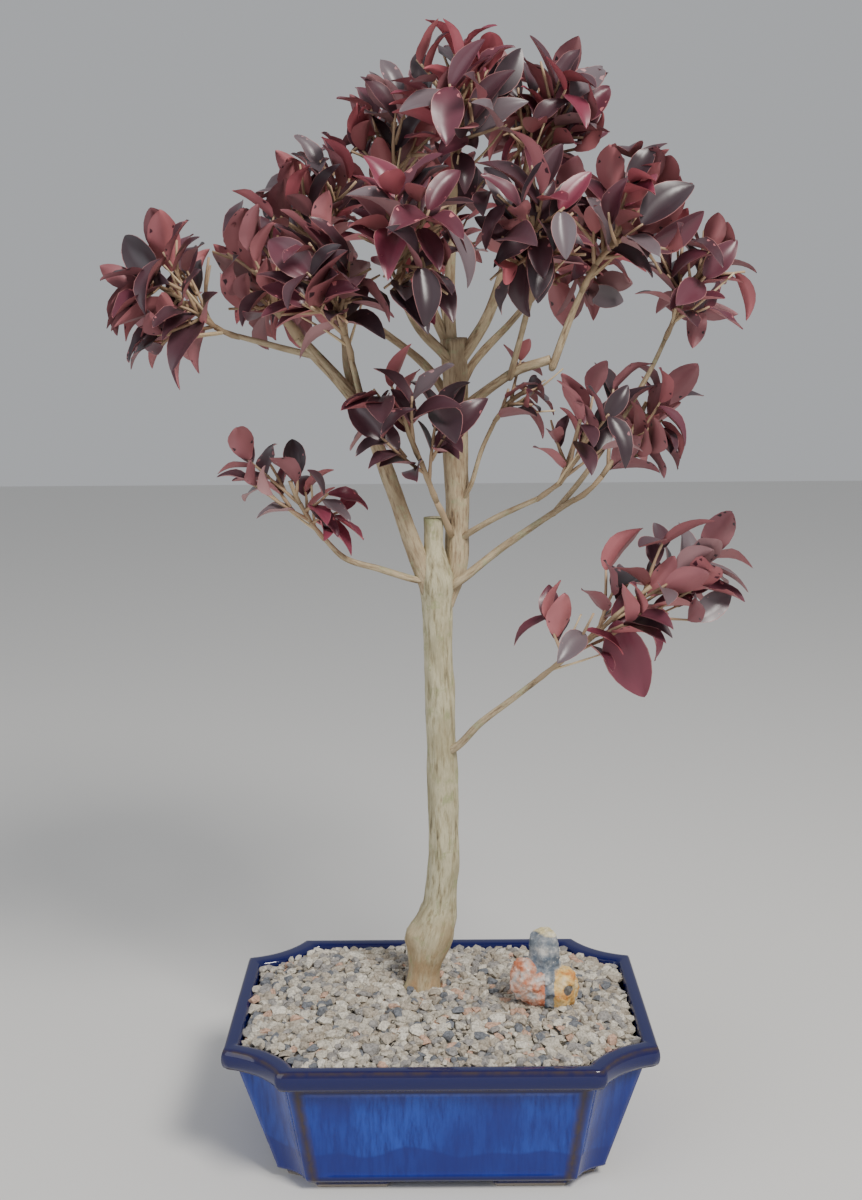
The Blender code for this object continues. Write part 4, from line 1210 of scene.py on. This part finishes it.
def build_pot(glaze):
    points, panel, glaze_break_and_neck_reflection = [], [], []
    profile = pot_profile()
    lip_start = [is_rim for _, _, is_rim in profile].index(True)
    for row, (z, shrink, is_rim) in enumerate(profile):
        if is_rim:
            half_x, half_y, cut = POT_WIDTH / 2, POT_DEPTH / 2, 1.0
        else:
            half_x, half_y, cut = wall_size(max(z, BODY_LOW))
        half_x, half_y = half_x - shrink, half_y - shrink
        ring = pot_outline(half_x, half_y, CORNER_CUT_X * cut, CORNER_CUT_Y * cut)
        for x, y, kind, along in ring:
            half = half_x - CORNER_CUT_X * cut if kind == "side_x" else half_y - CORNER_CUT_Y * cut
            from_end = min(along, 1.0 - along) * 2 * half
            sink = 0.0 if is_rim else panel_depth(kind, from_end, z)
            if kind == "side_x":
                y -= math.copysign(sink, y)
            elif kind == "side_y":
                x -= math.copysign(sink, x)
            rise = 0.0
            if z < FOOT_HEIGHT and (abs(x) < FOOT_GAP_X / 2 or abs(y) < FOOT_GAP_Y / 2):
                rise = FOOT_HEIGHT - z - 0.3 + z * 0.2
            points.append(Vector((x, y, z + rise)))
            full = 0.7 if kind == "corner" else min(1.0, 2.5 * sink / PANEL_SINK)
            panel.append(0.0 if is_rim else full)
            glaze_break_and_neck_reflection.append(glaze_break_and_neck_reflection_at(row - lip_start, z, kind, from_end))
        count = len(ring)
    faces = grid_faces(len(points) // count, count, closed=True)
    middle = len(points)
    points.append(Vector((0.0, 0.0, FOOT_HEIGHT)))
    panel.append(0.0)
    glaze_break_and_neck_reflection.append(0.0)
    faces += [(middle, (k + 1) % count, k) for k in range(count)]
    mesh = mesh_from("glazed_pot", points, faces, [0] * len(faces), [glaze])
    add_shares(mesh, {"panel": panel, "glaze_break_and_neck_reflection": glaze_break_and_neck_reflection})
    bm = bmesh.new()
    bm.from_mesh(mesh)
    bmesh.ops.recalc_face_normals(bm, faces=bm.faces)
    bm.to_mesh(mesh)
    bm.free()
    finish_piece(new_object("glazed_pot", mesh), "pot_glaze", "pot")


# Gravel and rock


def in_pot(x, y, margin):
    """Whether a place is inside the rim's inner edge, by a margin."""
    half_x = POT_WIDTH / 2 - LIP_WIDTH - margin
    half_y = POT_DEPTH / 2 - LIP_WIDTH - margin
    over_x = max(0.0, (abs(x) - half_x + CORNER_CUT_X) / CORNER_CUT_X)
    over_y = max(0.0, (abs(y) - half_y + CORNER_CUT_Y) / CORNER_CUT_Y)
    hollow = 4 * over_x * (1.0 - over_x) * CORNER_HOLLOW / math.hypot(CORNER_CUT_X, CORNER_CUT_Y)
    return abs(x) < half_x and abs(y) < half_y and over_x + over_y < 1.0 - 2.0 * hollow


def stone_shapes(count, rng):
    """Crushed stones: hulls of a few points round a ball."""
    shapes = []
    for _ in range(count):
        bm = bmesh.new()
        for _ in range(STONE_CORNERS):
            bm.verts.new(any_way(rng) * rng.uniform(0.8, 1.0))
        hull = bmesh.ops.convex_hull(bm, input=bm.verts)
        inner = [item for item in hull["geom_interior"] if isinstance(item, bmesh.types.BMVert)]
        bmesh.ops.delete(bm, geom=inner, context="VERTS")
        bm.verts.index_update()
        points = [vert.co.copy() for vert in bm.verts]
        shapes.append((points, [tuple(vert.index for vert in face.verts) for face in bm.faces]))
        bm.free()
    return shapes


def stone_places(rng):
    """Places of the stones: an even layer over the bed, and loose ones on it."""
    places = []
    for row in range(-25, 26):
        for column in range(-36, 37):
            x = (column + 0.5 * (row % 2)) * PEBBLE_STEP + rng.uniform(-STONE_WANDER, STONE_WANDER)
            y = row * PEBBLE_STEP * STONE_ROWS + rng.uniform(-STONE_WANDER, STONE_WANDER)
            places.append((x, y, rng.uniform(*STONE_LIFTS)))
    for _ in range(LOOSE_PEBBLES):
        x, y = [rng.uniform(-span, span) for span in LOOSE_SPAN]
        places.append((x, y, rng.uniform(*LOOSE_LIFTS)))
    return places


def build_gravel(materials, bed):
    """Crushed stones laid over the solid of the gravel bed."""
    rng = random.Random(7)
    shapes = stone_shapes(STONE_SHAPES, rng)
    corners = [tuple(vert.co / MM) for vert in bed.data.vertices]
    surface = BVHTree.FromPolygons(corners, [tuple(face.vertices) for face in bed.data.polygons])
    points, faces, tones = [], [], []
    for x, y, lift in stone_places(rng):
        size = rng.uniform(*PEBBLE_SIZES)
        size *= LARGE_STONES[1] if rng.random() < LARGE_STONES[0] else 1.0
        shape, rings = shapes[rng.randrange(len(shapes))]
        turn = Matrix.Rotation(rng.uniform(0, 6.28), 3, "Z")
        turn = turn @ Matrix.Rotation(rng.gauss(0, STONE_TILT), 3, "X")
        breadth, depth = size * rng.uniform(*STONE_BREADTHS), size * rng.uniform(*STONE_DEPTHS)
        turn = turn @ Matrix.Diagonal((size, breadth, depth))
        tone = rng.choices(range(len(PEBBLE_TONES)), [tone[1] for tone in PEBBLE_TONES])[0]
        trunk_gap = math.hypot(x - TRUNK[0][0], y - TRUNK[0][1]) - TRUNK[0][3]
        if not in_pot(x, y, size * 0.6) or trunk_gap < size * 0.3:
            continue
        ground = surface.ray_cast(Vector((x, y, 150.0)), Vector((0, 0, -1)))[0]
        z = (ground.z if ground else BED_EDGE_Z) + lift
        faces += [tuple(corner + len(points) for corner in ring) for ring in rings]
        tones += [tone] * len(rings)
        points += [turn @ corner + Vector((x, y, z)) for corner in shape]
    mesh = mesh_from("pebbles", points, faces, tones, materials, smooth=False)
    finish_piece(new_object("pebbles", mesh), "gravel")


def rock_reach(out):
    """Distance from the rock's core to its surface in a direction, and each lobe's share."""
    reaches = []
    for middle, half in ROCK_LOBES:
        aim = Vector([out[k] / half[k] for k in range(3)])
        start = Vector([(ROCK_CORE[k] - middle[k]) / half[k] for k in range(3)])
        a, b, c = aim.dot(aim), 2 * aim.dot(start), start.dot(start) - 1.0
        root = b * b - 4 * a * c
        reaches.append(max(0.0, (math.sqrt(root) - b) / (2 * a)) if root > 0 else 0.0)
    powers = [reach ** ROCK_BLEND for reach in reaches]
    total = sum(powers)
    return total ** (1 / ROCK_BLEND), [power / total for power in powers]


def rock_flats(core):
    """Planes that break the rock: the way each faces, and how far from the core it lies."""
    rng = random.Random(5)
    flats = []
    for _ in range(ROCK_FLATS):
        normal = any_way(rng, ROCK_FLAT_STEEP)
        depth = rng.uniform(*ROCK_FLAT_DEPTHS)
        hold = 0.0
        for middle, half in ROCK_LOBES:
            spread = Vector([n * size for n, size in zip(normal, half)]).length
            hold = max(hold, normal.dot(Vector(middle)) + spread)
        flats.append((normal, depth * (hold - normal.dot(core))))
    return flats


def build_rock(material):
    """A spired rock of four lobes, with flats broken off all round."""
    core = Vector(ROCK_CORE)
    pit = Vector(ROCK_PIT)
    flats = rock_flats(core)
    bm = bmesh.new()
    bmesh.ops.create_icosphere(bm, subdivisions=6, radius=1.0)
    tints = {"salmon": [], "ochre": [], "tip": [], "pit": []}
    for vert in bm.verts:
        out = vert.co.normalized()
        reach, shares = rock_reach(out)
        crag = ROCK_CRAGS[0] * noise.noise(out * 2.6 + Vector((3.1, 0.4, 7.7)))
        crag += ROCK_CRAGS[1] * noise.noise(out * 7.0)
        place = core + out * reach * (1.0 + crag)
        for normal, depth in flats:
            over = normal.dot(place - core) - depth
            if over > 0:
                place -= normal * over * ROCK_FLAT_SHARE
        coarse, fine = noise.noise(place * 0.35), noise.noise(place * 0.9)
        place += out * (ROCK_GRAIN[0] * coarse + ROCK_GRAIN[1] * fine)
        sunk = max(0.0, 1.0 - (place - pit).length / ROCK_PIT_RADIUS)
        place += Vector((-0.2, 1.0, 0.0)) * min(1.0, 2.0 * sunk) * ROCK_PIT_DEPTH
        place.z = max(place.z, 0.0)
        salmon_body = 0.8 * shares[0] if place.x < 0 and place.z < 24 else 0.0
        ochre_body = 0.5 * shares[0] if place.x > 6 else 0.0
        tints["salmon"].append(min(1.0, shares[2] + salmon_body))
        tints["ochre"].append(min(1.0, shares[3] * 1.2 + ochre_body))
        tints["tip"].append(max(0.0, min(1.0, (place.z - ROCK_TIP_FROM) / 5.0)))
        # Painted shade in the pit, darker the deeper it is sunk.
        tints["pit"].append(min(1.0, 2.2 * sunk))
        vert.co = (place + Vector((*ROCK_PLACE, GROUND_Z + SEAT_GAP))) * MM
    mesh = bpy.data.meshes.new("stone")
    bm.to_mesh(mesh)
    bm.free()
    add_shares(mesh, tints)
    mesh.materials.append(material)
    mesh.shade_smooth()
    finish_piece(new_object("stone", mesh), "rock", "accent_rock")


# Stage


def place_camera():
    data = bpy.data.cameras.new("camera")
    data.lens = SENSOR * FOCAL_PIXELS / FRAME_PIXELS
    data.sensor_width = SENSOR
    camera = new_object("camera", data)
    ahead = Vector((0, math.cos(CAMERA_PITCH), -math.sin(CAMERA_PITCH)))
    up = Vector((0, math.sin(CAMERA_PITCH), math.cos(CAMERA_PITCH)))
    right = Vector((1, 0, 0))
    turned = right * math.cos(CAMERA_ROLL) + up * math.sin(CAMERA_ROLL)
    upright = up * math.cos(CAMERA_ROLL) - right * math.sin(CAMERA_ROLL)
    matrix = Matrix((turned, upright, -ahead)).transposed().to_4x4()
    matrix.translation = Vector(CAMERA_PLACE) * MM
    camera.matrix_world = matrix
    bpy.context.scene.camera = camera


def add_light(name, place, aim, size, power, colour):
    data = bpy.data.lights.new(name, "AREA")
    data.size = size
    data.energy = power
    data.color = colour
    light = new_object(name, data)
    light.location = place
    light.rotation_euler = (Vector(aim) - Vector(place)).to_track_quat("-Z", "Y").to_euler()


def build_stage():
    bm = bmesh.new()
    bmesh.ops.create_grid(bm, x_segments=2, y_segments=2, size=4.0)
    mesh = bpy.data.meshes.new("floor")
    bm.to_mesh(mesh)
    bm.free()
    mesh.materials.append(plain_material("floor", (0.72, 0.71, 0.69), 0.8))
    floor = new_object("floor", mesh)
    for light in LIGHTS:
        add_light(*light)
    world = bpy.data.worlds.new("world")
    world.use_nodes = True
    background = world.node_tree.nodes["Background"]
    background.inputs["Color"].default_value = (0.80, 0.82, 0.85, 1.0)
    background.inputs["Strength"].default_value = 0.55
    bpy.context.scene.world = world


def main():
    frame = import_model()
    place_camera()
    build_stage()
    bark = bark_material("bark", (0.56, 0.51, 0.34), (0.36, 0.31, 0.18), (0.11, 0.085, 0.05),
                         (0.34, 0.36, 0.18), (0.46, 0.28, 0.14))
    brown = bark_material("bough_bark", (0.52, 0.42, 0.27), (0.31, 0.22, 0.13), (0.07, 0.045, 0.03),
                          (0.40, 0.41, 0.24), (0.31, 0.22, 0.13))
    build_trunk(bark)
    build_boughs(brown)
    leaves = []
    for number, (top, under, _) in enumerate(LEAF_TONES):
        leaves.append(plain_material("leaf_top_%d" % number, top, 0.36))
        leaves.append(plain_material("leaf_under_%d" % number, under, 0.5))
        leaves.append(plain_material("leaf_edge_%d" % number, LEAF_EDGE, 0.5))
    twigs = [plain_material("stem_wood", (0.38, 0.28, 0.17), 0.7),
             plain_material("shoot_wood", (0.42, 0.29, 0.18), 0.6),
             plain_material("straw", (0.60, 0.47, 0.29), 0.8)]
    build_foliage(leaves, twigs)
    build_pot(glaze_material())
    stones = [pebble_material("pebble_%d" % k, tone[0]) for k, tone in enumerate(PEBBLE_TONES)]
    bed = frame["nodes"]["gravel_bed"]
    build_gravel(stones, bed)
    build_rock(rock_material())
    # The bed shows between the stones; its soil colour stands in for the shade there.
    bed.data.materials.clear()
    bed.data.materials.append(soil_and_shade_material())


main()
